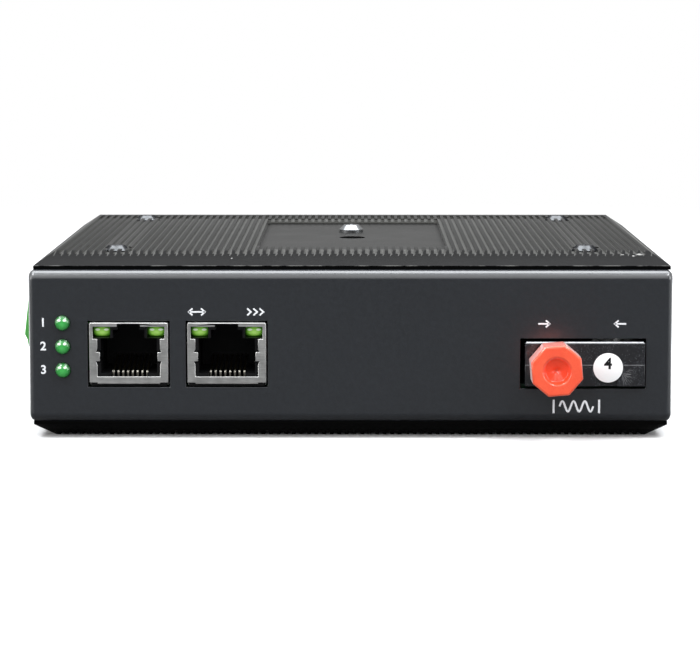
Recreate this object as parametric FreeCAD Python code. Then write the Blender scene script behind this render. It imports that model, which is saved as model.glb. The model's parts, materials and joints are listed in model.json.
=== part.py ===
import FreeCAD, Part
import math
import os

# Industrial fibre media converter, in millimetres.
# Each piece is modelled in the frame of the housing: X to the right of the port panel, Y from the
# port panel's outer face back to the rear, Z up from the middle plane of the sheet frame. Every
# piece is then moved by one offset, so that the origin is the middle of the footprint of the whole
# unit and Z = 0 is the plane that it stands on.

Vector = FreeCAD.Vector

# ---------------------------------------------------------------- housing
FRAME_W = 135.6            # outer width of the folded frame
FRAME_D = 106.0            # port panel face to rear panel face
FRAME_H = 32.2             # height of the folded frame
SHEET = 1.2                # steel sheet
FRONT_BEND_R = 2.0         # outer bend radius over and under the port panel
SIDE_BEND_R = 1.3          # outer bend radius of the other edges
FLANGE = 7.0               # side flanges under the covers
FLANGE_FRONT = 18.0        # front flanges, wide enough for the cover screws
FLANGE_REAR = 18.0
SHEET_GAP = 0.2            # between the rear panel and the frame round it
TAB_LEN = 11.0             # side tabs of the rear panel
TAB_HALF_H = 9.0
SIDE_SCREW_Z = 5.5         # side screws, above and below the middle plane
SIDE_SCREW_BACK = 5.5      # side screws, from the rear face

# ---------------------------------------------------------------- ribbed covers
COVER_SIDE_INSET = 0.65
COVER_FRONT_INSET = 2.0
COVER_REAR_INSET = 0.75
COVER_LIP = 0.8            # upright edge of the cover
COVER_RISE = 3.65          # frame edge to rib tops
COVER_SETBACK = 4.3        # width of the sloped border
COVER_CORNER_R = 1.5
RIB_PITCH = 1.62           # near this, so that the grooves fill the width evenly
RIB_TOP = 0.7              # flat on each rib
RIB_VALLEY = 0.24          # flat at the bottom of each groove
RIB_DEPTH = 1.25
RIB_END = 3.0              # plain strip between the grooves and the rear slope
RIB_MARGIN = 0.1           # sloped border to first groove
POCKET_W = 41.0
POCKET_FRONT = 16.5
POCKET_BACK = 17.5         # pocket to the rear face
POCKET_DEPTH = 1.3
POCKET_CORNER_R = 1.2
SKIRT_GAP = 0.35           # locating skirt to the flange edges
SKIRT_T = 1.2
SKIRT_H = 2.0
CORNER_SCREW_INSET = 17.6  # from the side walls
CORNER_SCREW_FRONT = 13.0
CORNER_SCREW_BACK = 13.5   # from the rear face
SPOTFACE_R = 3.0
SPOTFACE_DEPTH = 1.2       # the top screws stand a little above the ribs
SPOTFACE_LOW_DEPTH = 2.3   # the bottom screws stay inside them
SPREADER_BACK = 47.0       # middle of the heat spreader, from the rear face
SPREADER_PITCH = 14.0      # between its two screws
SUNK_R = 2.95              # counterbore of the front spreader screw
SUNK_DEPTH = 0.75          # its head lies this far below the pocket floor
SUNK_HEAD_R = 2.7          # its countersunk head
SUNK_HEAD_H = 1.35
SUNK_PLAY = 0.15           # round the head, so that it stays clear of the counterbore

# ---------------------------------------------------------------- M3 fasteners
M3_R = 1.45
M3_HOLE_R = 1.5
M3_PASS_R = 1.7
HEAD_R = 2.75
HEAD_H = 1.75
HEAD_EDGE = 0.7
HEAD_CROWN_R = 1.75
CROSS_LEN = 3.0
CROSS_W = 0.62
CROSS_DEPTH = 1.15
SCREW_BITE = 3.0           # thread length inside what it screws into
NUT_AF = 5.5
NUT_H = 2.4
POST_AF = 5.0

# ---------------------------------------------------------------- circuit board
BOARD_T = 1.6
POST_H = 5.0               # bottom flange to the board's underside
BOARD_SIDE_GAP = 1.0       # board edge to the inner wall
BOARD_FRONT = 3.0
BOARD_HOLE_R = 1.6
POST_CLEAR = 7.0           # front posts, beside a jack and the transceiver
POST_FRONT = 10.0
POST_REAR_X = 30.0
POST_EDGE = 3.0            # rear posts, from the board's rear edge
BOARD_CORNER_R = 1.5

# ---------------------------------------------------------------- RJ45 jacks
JACK_INSET = 21.1          # first jack, from the left wall
JACK_PITCH = 20.65
JACK_W = 16.6
JACK_H = 13.4
JACK_DEPTH = 21.0
JACK_PROUD = 0.35
JACK_CLEAR = 0.35          # panel cut-out, each side
SHIELD_T = 0.3
SHIELD_RIM_R = 0.22        # rounding of the folded front edges
SHIELD_OPEN_W = 13.2
SHIELD_FOOT = 0.4          # front sheet above the board
FOOT_RELIEF = 1.6          # how far back that relief runs
SHIELD_FOOT_STEP = 0.25    # its outer ends stop this much higher
SHIELD_SILL = 1.95         # lower rim of the shield
WINDOW_RIM = 0.75          # rim outside each lamp window
WINDOW_TOP = 0.9           # rim above each lamp window
WINDOW_H = 2.55
NOTCH_W = 4.9
NOTCH_RIM = 0.3
CAVITY_W = 11.9
CAVITY_FLOOR = 2.6         # above the board
CAVITY_TOP = 10.1
CAVITY_DEPTH = 14.5
LATCH_W = 6.7              # channel for the plug's latch
LATCH_TOP = 11.9
LATCH_NECK_W = 4.6
LATCH_NECK_TOP = 12.9
LAMP_W = 3.55
LAMP_H = 2.2
LAMP_GAP = 0.08
LAMP_SET = 1.6             # lamps behind the front sheet
LAMP_CORNER_R = 0.8
LAMP_CROWN_R = 0.5
TAB_Z = 6.15               # side spring tabs, middle height above the board
TAB_H = 1.95
TAB_IN = 0.55
TAB_LENGTH = 6.0
TAB_NOTCH = 0.3            # depth of the notch above and below each tab
TAB_NOTCH_H = 0.65
CONTACT_COUNT = 8
CONTACT_PITCH = 1.016
CONTACT_W = 0.38
CONTACT_T = 0.3
CONTACT_SLOT_W = 7.8
CONTACT_SLOT_DEEP = 1.2
CONTACT_SET = 3.4          # fronts behind the shield's front sheet
CONTACT_RISE = 1.9
CONTACT_KNEE = 0.4         # front bend below the cavity floor
POST_R = 0.8

# ---------------------------------------------------------------- status lamps
LED_INSET = 7.2            # from the left wall
LED_LOW = 3.3              # lowest lamp above the board
LED_PITCH = 5.0
LED_COUNT = 3
LED_R = 1.5
LED_HOLE_R = 1.66
LED_PROUD = 0.35
LED_BACK = 5.0
LED_HOLDER_W = 5.2
LED_HOLDER_FRONT = 3.0
LED_HOLDER_REAR = 9.5
LED_HOLDER_RIM = 2.6
LED_SOCKET = 0.05
LED_LEG = 0.5

# ---------------------------------------------------------------- optical transceiver
TRX_INSET = 18.45          # middle of the transceiver, from the right wall
TRX_W = 25.2
TRX_H = 9.4
TRX_SPLIT = 4.5            # parting line above the board
TRX_FRONT = -1.0
TRX_LEN = 39.0
TRX_CLEAR = 0.65           # panel cut-out, each side and above
TRX_ASIDE = 0.35           # its middle to the right of the cut-out's
TRX_WALL = 1.2
TRX_CHAMFER = 0.35
TRX_NOTCH_W = 4.3
TRX_NOTCH_H = 2.3
TRX_NOTCH_T = 0.5
TRX_NOTCH_X = 4.6
PIN_COUNT = 9
PIN_PITCH = 2.54
LEAD_HALF = 0.23           # half the width of a square lead
LEAD_HOLE = 0.35
PORT_X = -6.5              # fibre port, from the transceiver's middle
PORT_Z = 4.4               # fibre port, above the board
BARREL_R = 4.0
BARREL_BORE_R = 3.0
BARREL_LEN = 5.2
BARREL_FLANGE_R = 4.7
BARREL_FLANGE_T = 1.8
BARREL_SPIGOT_R = 3.8
BARREL_SPIGOT_LEN = 3.0
BARREL_KEY_W = 2.1
BARREL_KEY_T = 1.6
SLEEVE_R = 1.6
SLEEVE_BORE_R = 1.25
SLEEVE_LEN = 6.2
CAP_FIT = 0.06
CAP_ACROSS = 10.5
CAP_LEN = 6.8
CAP_WALL = 2.8
CAP_TURN = 5.0             # degrees that the cap is screwed past square
CAP_CHAMFER = 0.35
CAP_DISH_R = 3.0
CAP_DISH_DEPTH = 1.3
CAP_DIMPLE_R = 0.95
CAP_DIMPLE_DEPTH = 0.5     # ---------------------------------------------------------------- power terminals
POLES = 6
POLE_PITCH = 5.08
TERM_FRONT = 24.0
TERM_H = 16.8              # top of the plug above the board
TERM_OUT = 3.9             # plug beyond the frame wall
TERM_SLANT_TOP = 1.0
TERM_SLANT_LOW = 0.6
TERM_WAIST = 7.9           # widest line of the slanted face above the board
TERM_FOOT = 6.6            # lower end of the bevel under it
TERM_STEP = 5.3            # top of the set-back wire entries
TERM_STEP_IN = 1.5
TERM_CLEAR = 0.5
HEADER_WALL = 1.0
HEADER_DEPTH = 10.5
HEADER_H = 12.2
HEADER_GAP = 0.4           # header mouth to the frame's inner wall
NOSE_GAP = 0.2
NOSE_LEN = 8.6
PLUG_LIFT = 0.9            # plug's underside above the board
WIRE_W = 3.4
WIRE_H = 3.0
WIRE_UP = 3.7              # wire entries above the board
DRIVER_R = 1.9
DRIVER_UP = 11.9           # screw wells above the board
CAGE_WALL = 0.5
CAGE_LEN = 3.4
CAGE_SET = 1.1
CLAMP_SCREW_R = 1.75
CLAMP_SCREW_LEN = 2.4
CLAMP_SLOT_W = 0.6
CLAMP_SLOT_DEPTH = 0.7
PIN_SQ = 1.0
PIN_REACH = 6.5
PIN_SLOT = 1.5
PIN_TAIL = 1.6

# ---------------------------------------------------------------- parts on the board
CHIP_W = 20.0
CHIP_T = 1.4
CHIP_LIFT = 0.1
CHIP_LEG = 1.0
PAD_T = 1.0
SPREADER_W = 26.0
SPREADER_L = 30.0
SPREADER_T = 4.0
SPREADER_CORE = 17.0
MAGNETIC_W = 12.8
MAGNETIC_SHIFT = (2.85, 0.0)
MAGNETIC_L = 9.0
MAGNETIC_H = 5.6
MAGNETIC_Y = 29.0
CAN_R = 5.0
CAN_H = 12.5
CAN_BEAD = 0.35
CAN_X = (-50.0, -37.5, -25.0)
CAN_BACK = 30.0
COIL_W = 12.0
COIL_H = 6.5
COIL_X = -9.0
COIL_BACK = 23.0
# x, distance from the rear face, width and length of each
SMALL_CHIPS = ((27.0, 50.0, 10.0, 10.0), (48.0, 40.0, 9.0, 7.5), (-46.0, 45.5, 6.2, 5.0))
SMALL_CHIP_T = 1.1
CRYSTAL_L = 11.0
CRYSTAL_W = 4.6
CRYSTAL_H = 3.4
CRYSTAL_X = 30.0
CRYSTAL_BACK = 34.0

# ---------------------------------------------------------------- rail clip
RAIL_W = 35.0              # mounting rail across its edges
RAIL_EDGE_T = 1.0
RAIL_PLAY = 0.4
CLIP_W = 30.0
CLIP_BASE = 2.5
CLIP_SEAT = 6.2            # rail seat, from the rear panel
HOOK_REACH = 3.0
HOOK_T = 2.2
HOOK_WALL = 4.0
CLIP_INSET = 15.8          # end of the latch guide, from the side wall
CHANNEL_W = 18.0
CHANNEL_END = -2.0
CHANNEL_LIP = 1.1
CHANNEL_LIP_T = 1.0
GUIDE_T = 3.0
LATCH_PLAY = 0.2
LATCH_TRAVEL = 4.5
LATCH_HEAD = -10.5         # inner end of the latch
LATCH_TAIL = 8.0           # latch beyond its guide
LATCH_STEP = 3.0
SPRING_W = 0.7
SPRING_H = 1.5
SPRING_TURNS = 4
SPRING_SPAN = 12.0
CLIP_SCREWS = ((3.0, 9.5), (3.0, -9.5), (12.5, 9.5), (12.5, -9.5))
CLIP_HEAD_SEAT = 3.4

# ---------------------------------------------------------------- sizes that follow from the above
HALF_W = FRAME_W / 2.0
HALF_H = FRAME_H / 2.0
INNER_W = HALF_W - SHEET
BOARD_LOW = -HALF_H + SHEET + POST_H
BOARD_TOP = BOARD_LOW + BOARD_T
BOARD_REAR = FRAME_D - TAB_LEN - BOARD_SIDE_GAP
POCKET_REAR = FRAME_D - POCKET_BACK
SPREADER_Y = FRAME_D - SPREADER_BACK
SPREADER_SCREWS = (SPREADER_Y - SPREADER_PITCH / 2.0, SPREADER_Y + SPREADER_PITCH / 2.0)
JACK_X = (-HALF_W + JACK_INSET, -HALF_W + JACK_INSET + JACK_PITCH)
LED_X = -HALF_W + LED_INSET
LED_Z = [BOARD_TOP + LED_LOW + i * LED_PITCH for i in range(LED_COUNT)]
TRX_X = HALF_W - TRX_INSET
TERM_TOP = BOARD_TOP + TERM_H
WIRE_Z = BOARD_TOP + WIRE_UP
DRIVER_Z = BOARD_TOP + DRIVER_UP
CAN_Y = FRAME_D - CAN_BACK
COIL_Y = FRAME_D - COIL_BACK
CRYSTAL_Y = FRAME_D - CRYSTAL_BACK
CLIP_LOW = -HALF_W + CLIP_INSET
CAP_FACE = TRX_FRONT - BARREL_FLANGE_T - CAP_LEN
CLIP_BACK = FRAME_D + CLIP_SEAT + RAIL_EDGE_T + RAIL_PLAY + HOOK_T
TERM_LEN = POLES * POLE_PITCH
TERM_REAR = TERM_FRONT + TERM_LEN
TERM_X = -HALF_W - TERM_OUT
HEADER_X = -INNER_W + HEADER_GAP
PORT_POINT = (TRX_X + PORT_X, BOARD_TOP + PORT_Z)
CORNER_SCREWS = [
    (side * (HALF_W - CORNER_SCREW_INSET), y)
    for side in (-1, 1)
    for y in (CORNER_SCREW_FRONT, FRAME_D - CORNER_SCREW_BACK)
]
BOARD_POSTS = [
    (JACK_X[-1] + JACK_W / 2.0 + POST_CLEAR, POST_FRONT),
    (TRX_X - TRX_W / 2.0 - POST_CLEAR, POST_FRONT),
    (-POST_REAR_X, BOARD_REAR - POST_EDGE),
    (POST_REAR_X, BOARD_REAR - POST_EDGE),
]
OFFSET = Vector(
    -(TERM_X + HALF_W + HEAD_H) / 2.0,
    -(CAP_FACE + CLIP_BACK) / 2.0,
    HALF_H + COVER_RISE,
)
OVER = 1.0                 # how far a cutting tool runs past a face
FINE = 0.02                # working clearance that keeps neighbouring faces apart


# ---------------------------------------------------------------- building blocks
def box(x0, x1, y0, y1, z0, z1):
    """Block between two corners."""
    return Part.makeBox(x1 - x0, y1 - y0, z1 - z0, Vector(x0, y0, z0))


def polygon_face(points):
    """Flat face inside a closed ring of points."""
    ring = [Vector(*p) for p in points]
    return Part.Face(Part.makePolygon(ring + ring[:1]))


def prism_x(points, x0, x1):
    """Prism along X from (y, z) points."""
    return polygon_face([(x0, y, z) for y, z in points]).extrude(Vector(x1 - x0, 0, 0))


def prism_y(points, y0, y1):
    """Prism along Y from (x, z) points."""
    return polygon_face([(x, y0, z) for x, z in points]).extrude(Vector(0, y1 - y0, 0))


def prism_z(points, z0, z1):
    """Prism along Z from (x, y) points."""
    return polygon_face([(x, y, z0) for x, y in points]).extrude(Vector(0, 0, z1 - z0))


def rod(start, direction, length, radius):
    """Cylinder from a start point along a direction."""
    return Part.makeCylinder(radius, length, Vector(*start), Vector(*direction))


def turned(profile, start, direction):
    """Solid of revolution from (radius, height) points about a direction through start."""
    ring = [Vector(r, 0, h) for r, h in profile]
    solid = Part.Face(Part.makePolygon(ring + ring[:1])).revolve(Vector(0, 0, 0), Vector(0, 0, 1), 360)
    turn = FreeCAD.Rotation(Vector(0, 0, 1), Vector(*direction))
    solid.Placement = FreeCAD.Placement(Vector(*start), turn)
    return solid


def join(shapes):
    """One solid from pieces that touch or overlap."""
    pieces = list(shapes)
    return pieces[0].multiFuse(pieces[1:]).removeSplitter() if len(pieces) > 1 else pieces[0]


def cut(body, tools):
    """Body with all tools taken away."""
    return body.cut(Part.makeCompound(list(tools)))


def upright_edges(shape, keep):
    """Edges along Z whose (x, y) passes a test."""
    found = []
    for edge in shape.Edges:
        run = edge.Vertexes[-1].Point - edge.Vertexes[0].Point
        if math.hypot(run.x, run.y) < FINE and keep(edge.Vertexes[0].Point):
            found.append(edge)
    return found


def rounded_block(x0, x1, y0, y1, z0, z1, radius):
    """Block with rounded upright edges."""
    block = box(x0, x1, y0, y1, z0, z1)
    return block.makeFillet(radius, upright_edges(block, lambda p: True))


def hexagon(x, y, across, z0, z1):
    """Hexagonal bar along Z."""
    r = across / math.sqrt(3.0)
    ring = []
    for i in range(6):
        angle = math.radians(60 * i)
        ring.append((x + r * math.cos(angle), y + r * math.sin(angle)))
    return prism_z(ring, z0, z1)


# ---------------------------------------------------------------- fasteners
def cross_recess(top):
    """Tapered cross that a driver fits, sunk from the head's top plane."""
    long_half = CROSS_LEN / 2.0
    short_half = CROSS_LEN / 5.0
    low = top - CROSS_DEPTH
    high = top + OVER
    blade = [(-long_half, high), (-long_half, top), (-short_half, low), (short_half, low),
             (long_half, top), (long_half, high)]
    along = prism_y(blade, -CROSS_W / 2.0, CROSS_W / 2.0)
    across = prism_x(blade, -CROSS_W / 2.0, CROSS_W / 2.0)
    return join([along, across])


def pan_screw(seat, outward, shank_len, recess=True):
    """Pan-head cross-recess screw: the head's underside is at seat, the head points outward."""
    profile = [(0, -shank_len), (M3_R, -shank_len), (M3_R, 0), (HEAD_R, 0), (HEAD_R, HEAD_EDGE),
               (HEAD_CROWN_R, HEAD_H), (0, HEAD_H)]
    screw = turned(profile, (0, 0, 0), (0, 0, 1))
    if recess:
        screw = screw.cut(cross_recess(HEAD_H))
    turn = FreeCAD.Rotation(Vector(0, 0, 1), Vector(*outward))
    screw.Placement = FreeCAD.Placement(Vector(*seat), turn)
    return screw


def countersunk_screw(top, shank_len):
    """Countersunk cross-recess screw that points down, its flat head's top at the given point."""
    profile = [(0, -SUNK_HEAD_H - shank_len), (M3_R, -SUNK_HEAD_H - shank_len), (M3_R, -SUNK_HEAD_H),
               (SUNK_HEAD_R, 0), (0, 0)]
    screw = turned(profile, (0, 0, 0), (0, 0, 1)).cut(cross_recess(0.0))
    screw.Placement = FreeCAD.Placement(Vector(*top), FreeCAD.Rotation())
    return screw


def cover_screws():
    """Four screws through each cover into the nuts under the flanges."""
    screws = []
    for up, depth in ((1, SPOTFACE_DEPTH), (-1, SPOTFACE_LOW_DEPTH)):
        seat = up * (HALF_H + COVER_RISE - depth)
        shank = COVER_RISE - depth + SHEET + NUT_H
        for x, y in CORNER_SCREWS:
            screws.append(pan_screw((x, y, seat), (0, 0, up), shank))
    return Part.makeCompound(screws)


def cover_nuts():
    """Clinch nuts inside the flanges, one for each cover screw."""
    nuts = []
    inside = HALF_H - SHEET
    for x, y in CORNER_SCREWS:
        for low in (inside - NUT_H, -inside):
            nut = hexagon(x, y, NUT_AF, low, low + NUT_H)
            nuts.append(nut.cut(rod((x, y, low - OVER), (0, 0, 1), NUT_H + 2 * OVER, M3_HOLE_R)))
    return Part.makeCompound(nuts)


def spreader_screws():
    """Two screws that pull the heat spreader against the top cover."""
    floor = HALF_H + COVER_RISE - POCKET_DEPTH
    sunk = floor - SUNK_DEPTH
    front_y, rear_y = SPREADER_SCREWS
    rear = pan_screw((0, rear_y, floor), (0, 0, 1), floor - HALF_H + SCREW_BITE)
    front = countersunk_screw((0, front_y, sunk), sunk - SUNK_HEAD_H - HALF_H + SCREW_BITE)
    return Part.makeCompound([rear, front])


def side_screw_points():
    """Where the rear panel is screwed to the side walls."""
    return [
        (side, FRAME_D - SIDE_SCREW_BACK, z)
        for side in (-1, 1)
        for z in (-SIDE_SCREW_Z, SIDE_SCREW_Z)
    ]


def rear_panel_screws():
    """Four screws through the side walls into the rear panel's tabs."""
    shank = SHEET + SHEET_GAP + SHEET + OVER
    return Part.makeCompound([
        pan_screw((side * HALF_W, y, z), (side, 0, 0), shank) for side, y, z in side_screw_points()
    ])


def bracket_screws():
    """Four screws that hold the rail clip to the rear panel."""
    seat = FRAME_D + CLIP_SEAT - CLIP_HEAD_SEAT
    shank = seat - FRAME_D + SHEET + OVER
    return Part.makeCompound([pan_screw((x, seat, z), (0, 1, 0), shank) for x, z in CLIP_SCREWS])


def board_posts():
    """Hexagonal posts from the bottom flanges up to the board."""
    posts = []
    low = -HALF_H + SHEET
    for x, y in BOARD_POSTS:
        bar = hexagon(x, y, POST_AF, low, BOARD_LOW)
        posts.append(bar.cut(rod((x, y, low - OVER), (0, 0, 1), BOARD_LOW - low + 2 * OVER, M3_HOLE_R)))
    return Part.makeCompound(posts)


def board_screws():
    """Four screws through the board into its posts."""
    shank = BOARD_T + SCREW_BITE
    return Part.makeCompound([pan_screw((x, y, BOARD_TOP), (0, 0, 1), shank, False) for x, y in BOARD_POSTS])


# ---------------------------------------------------------------- housing
def frame_shell():
    """Folded wall: port panel, side walls and the flanges turned in from all three; open behind."""
    outer = box(-HALF_W, HALF_W, 0.0, FRAME_D, -HALF_H, HALF_H)
    panel_bends = [
        e for e in outer.Edges
        if abs(e.BoundBox.YMax) < FINE and e.BoundBox.ZLength < FINE
    ]
    outer = outer.makeFillet(FRONT_BEND_R, panel_bends)
    side_bends = [
        e for e in outer.Edges
        if e.BoundBox.XLength < FINE and abs(e.BoundBox.XMax) > HALF_W - FINE and e.BoundBox.YMin < FRAME_D - FINE
    ]
    outer = outer.makeFillet(SIDE_BEND_R, side_bends)
    inner = box(-INNER_W, INNER_W, SHEET, FRAME_D + OVER, -HALF_H + SHEET, HALF_H - SHEET)
    window = box(-HALF_W + FLANGE, HALF_W - FLANGE, FLANGE_FRONT, FRAME_D + OVER,
                 -HALF_H - OVER, HALF_H + OVER)
    return cut(outer, [inner, window])


def panel_openings():
    """Tools that open the port panel for the jacks, the lamps and the transceiver."""
    tools = []
    for x in JACK_X:
        tools.append(box(x - JACK_W / 2.0 - JACK_CLEAR, x + JACK_W / 2.0 + JACK_CLEAR, -OVER, SHEET + OVER,
                         BOARD_TOP - JACK_CLEAR, BOARD_TOP + JACK_H + JACK_CLEAR))
    for z in LED_Z:
        tools.append(rod((LED_X, -OVER, z), (0, 1, 0), SHEET + 2 * OVER, LED_HOLE_R))
    middle = TRX_X - TRX_ASIDE
    half = TRX_W / 2.0 + TRX_CLEAR
    tools.append(box(middle - half, middle + half, -OVER, SHEET + OVER,
                     BOARD_TOP - TRX_CLEAR, BOARD_TOP + TRX_H + TRX_CLEAR))
    return tools


def flange_drills(keep):
    """Holes of the cover screws in the top and bottom flanges, for the rows that a test keeps."""
    return [
        rod((x, y, -HALF_H - OVER), (0, 0, 1), FRAME_H + 2 * OVER, M3_PASS_R)
        for x, y in CORNER_SCREWS
        if keep(y)
    ]


def body_frame():
    """Folded steel frame: port panel, both side walls and the flanges under the covers."""
    shell = frame_shell()
    tools = panel_openings() + flange_drills(lambda y: y < FRAME_D / 2.0)
    tools.append(box(-HALF_W - OVER, -INNER_W + OVER, TERM_FRONT - HEADER_WALL - TERM_CLEAR,
                     TERM_REAR + HEADER_WALL + TERM_CLEAR, BOARD_TOP, TERM_TOP + TERM_CLEAR))
    for side, y, z in side_screw_points():
        tools.append(rod((side * (INNER_W - OVER), y, z), (side, 0, 0), SHEET + 2 * OVER, M3_PASS_R))
    return cut(shell, tools)


def rear_panel():
    """Rear panel with top and bottom flanges, and side tabs that take the side screws."""
    half = INNER_W - SHEET_GAP
    depth = max(FLANGE_REAR, TAB_LEN)
    block = box(-half, half, FRAME_D - depth, FRAME_D, -HALF_H, HALF_H)
    rear_edges = [e for e in block.Edges if abs(e.BoundBox.YMin - FRAME_D) < FINE]
    block = block.makeFillet(SIDE_BEND_R, rear_edges)
    inner = box(-half + SHEET, half - SHEET, FRAME_D - depth - OVER, FRAME_D - SHEET,
                -HALF_H + SHEET, HALF_H - SHEET)
    flange_half = HALF_W - FLANGE - SHEET_GAP
    tools = [inner]
    for side in (-1, 1):
        x_in = side * flange_half
        x_out = side * (HALF_W + OVER)
        for up in (-1, 1):
            z_flange = up * (HALF_H - SHEET - SHEET_GAP)
            z_out = up * (HALF_H + OVER)
            tools.append(box(min(x_in, x_out), max(x_in, x_out), FRAME_D - depth - OVER, FRAME_D + OVER,
                             min(z_flange, z_out), max(z_flange, z_out)))
            z_tab = up * TAB_HALF_H
            tools.append(box(min(x_in, x_out), max(x_in, x_out), FRAME_D - depth - OVER,
                             FRAME_D - SIDE_BEND_R, min(z_tab, z_out), max(z_tab, z_out)))
        tools.append(box(min(x_in, x_out), max(x_in, x_out), FRAME_D - depth - OVER, FRAME_D - TAB_LEN,
                         -HALF_H - OVER, HALF_H + OVER))
    tools += flange_drills(lambda y: y > FRAME_D / 2.0)
    for side, y, z in side_screw_points():
        tools.append(rod((side * (half - SHEET - OVER), y, z), (side, 0, 0), SHEET + 2 * OVER, M3_HOLE_R))
    for x, z in CLIP_SCREWS:
        tools.append(rod((x, FRAME_D - SHEET - OVER, z), (0, 1, 0), SHEET + 2 * OVER, M3_HOLE_R))
    return cut(block, tools)


# ---------------------------------------------------------------- ribbed covers
def rib_profile(x_half, base, lip, top):
    """Cross-section of a cover: lip, slope, ribs and grooves, slope, lip."""
    flat_half = x_half - COVER_SETBACK
    span = 2 * (flat_half - RIB_MARGIN) - RIB_TOP
    count = round(span / RIB_PITCH)
    pitch = span / count
    points = [(-x_half, base), (-x_half, lip), (-flat_half, top)]
    for i in range(count):
        start = i * pitch - (span - RIB_TOP) / 2.0
        end = start + pitch - RIB_TOP
        middle = (start + end) / 2.0
        points += [(start, top), (middle - RIB_VALLEY / 2.0, top - RIB_DEPTH),
                   (middle + RIB_VALLEY / 2.0, top - RIB_DEPTH), (end, top)]
    points += [(flat_half, top), (x_half, lip), (x_half, base)]
    return points


def ribbed_cover(spotface_depth):
    """Cast cover with fine ribs inside a sloped border, a smooth pocket and a locating skirt."""
    base = HALF_H
    lip = base + COVER_LIP
    top = base + COVER_RISE
    x_half = HALF_W - COVER_SIDE_INSET
    front = COVER_FRONT_INSET
    rear = FRAME_D - COVER_REAR_INSET
    groove_end = rear - COVER_SETBACK - RIB_END
    ribs = prism_y(rib_profile(x_half, base, lip, top), front, groove_end)
    side_view = [(front, base), (front, lip), (front + COVER_SETBACK, top),
                 (rear - COVER_SETBACK, top), (rear, lip), (rear, base)]
    hipped = prism_x(side_view, -x_half, x_half)
    plan = box(-x_half, x_half, front, rear, base, top)
    plan = plan.makeFillet(COVER_CORNER_R, upright_edges(plan, lambda p: p.y > FRAME_D / 2.0))
    flat_half = x_half - COVER_SETBACK
    border = prism_y([(-x_half, base), (-x_half, lip), (-flat_half, top), (flat_half, top), (x_half, lip),
                      (x_half, base)], groove_end, rear)
    body = join([ribs, border]).common(hipped).common(plan)
    pocket = rounded_block(-POCKET_W / 2.0, POCKET_W / 2.0, POCKET_FRONT, POCKET_REAR,
                           top - POCKET_DEPTH, top + OVER, POCKET_CORNER_R)
    tools = [pocket]
    for x, y in CORNER_SCREWS:
        tools.append(rod((x, y, top - spotface_depth), (0, 0, 1), spotface_depth + OVER, SPOTFACE_R))
        tools.append(rod((x, y, base - OVER), (0, 0, 1), COVER_RISE + 2 * OVER, M3_PASS_R))
    body = cut(body, tools)
    skirt_x = HALF_W - FLANGE - SKIRT_GAP
    skirt_front = FLANGE_FRONT + SKIRT_GAP
    skirt_rear = FRAME_D - FLANGE_REAR - SKIRT_GAP
    skirt = box(-skirt_x, skirt_x, skirt_front, skirt_rear, base - SKIRT_H, base)
    hollow = box(-skirt_x + SKIRT_T, skirt_x - SKIRT_T, skirt_front + SKIRT_T, skirt_rear - SKIRT_T,
                 base - SKIRT_H - OVER, base + OVER)
    return body.fuse(skirt.cut(hollow))


def top_cover():
    """Top cover, drilled for the two screws of the heat spreader."""
    floor = HALF_H + COVER_RISE - POCKET_DEPTH
    tools = []
    for y in SPREADER_SCREWS:
        tools.append(rod((0, y, HALF_H - OVER), (0, 0, 1), COVER_RISE + 2 * OVER, M3_PASS_R))
    tools.append(rod((0, SPREADER_SCREWS[0], floor - SUNK_DEPTH), (0, 0, 1), SUNK_DEPTH + OVER, SUNK_R))
    tools.append(turned([(0, -SUNK_HEAD_H), (M3_PASS_R, -SUNK_HEAD_H), (SUNK_HEAD_R + SUNK_PLAY, 0), (0, 0)],
                        (0, SPREADER_SCREWS[0], floor - SUNK_DEPTH), (0, 0, 1)))
    return cut(ribbed_cover(SPOTFACE_DEPTH), tools)


def bottom_cover():
    """The same casting turned over, left undrilled in its pocket."""
    cover = ribbed_cover(SPOTFACE_LOW_DEPTH)
    return cover.mirror(Vector(0, 0, 0), Vector(0, 0, 1))


# ---------------------------------------------------------------- circuit board and its parts
def main_board():
    """Circuit board, drilled for its screws, the jack posts, the pins and the lamp legs."""
    half = INNER_W - BOARD_SIDE_GAP
    board = rounded_block(-half, half, BOARD_FRONT, BOARD_REAR, BOARD_LOW, BOARD_TOP, BOARD_CORNER_R)
    drill = BOARD_T + 2 * OVER
    low = BOARD_LOW - OVER
    tools = [rod((x, y, low), (0, 0, 1), drill, BOARD_HOLE_R) for x, y in BOARD_POSTS]
    for x, y in transceiver_pin_points():
        tools.append(box(x - LEAD_HOLE, x + LEAD_HOLE, y - LEAD_HOLE, y + LEAD_HOLE, low, low + drill))
    for x, y in jack_post_points():
        tools.append(rod((x, y, low), (0, 0, 1), drill, POST_R + FINE))
    leg = PIN_SQ / 2.0 + FINE
    tail = header_tail_x()
    for y in pole_centres():
        tools.append(box(tail - leg, tail + leg, y - leg, y + leg, low, low + drill))
    return cut(board, tools)


def quad_chip(x, y, width, length, thick):
    """Chip body with its rows of legs drawn as one low skirt."""
    z = BOARD_TOP
    body = box(x - width / 2.0, x + width / 2.0, y - length / 2.0, y + length / 2.0, z + CHIP_LIFT, z + thick)
    draft = body.makeChamfer(thick / 5.0, [e for e in body.Edges if abs(e.BoundBox.ZMin - z - thick) < FINE])
    legs = box(x - width / 2.0 - CHIP_LEG, x + width / 2.0 + CHIP_LEG, y - length / 2.0 - CHIP_LEG,
               y + length / 2.0 + CHIP_LEG, z, z + CHIP_LIFT + 0.1)
    corner = 0.12 * width
    notches = []
    for sx in (-1, 1):
        for sy in (-1, 1):
            cx = x + sx * (width / 2.0 + CHIP_LEG)
            cy = y + sy * (length / 2.0 + CHIP_LEG)
            notches.append(box(cx - corner, cx + corner, cy - corner, cy + corner, z - OVER, z + CHIP_LIFT))
    return join([draft, cut(legs, notches)])


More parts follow.
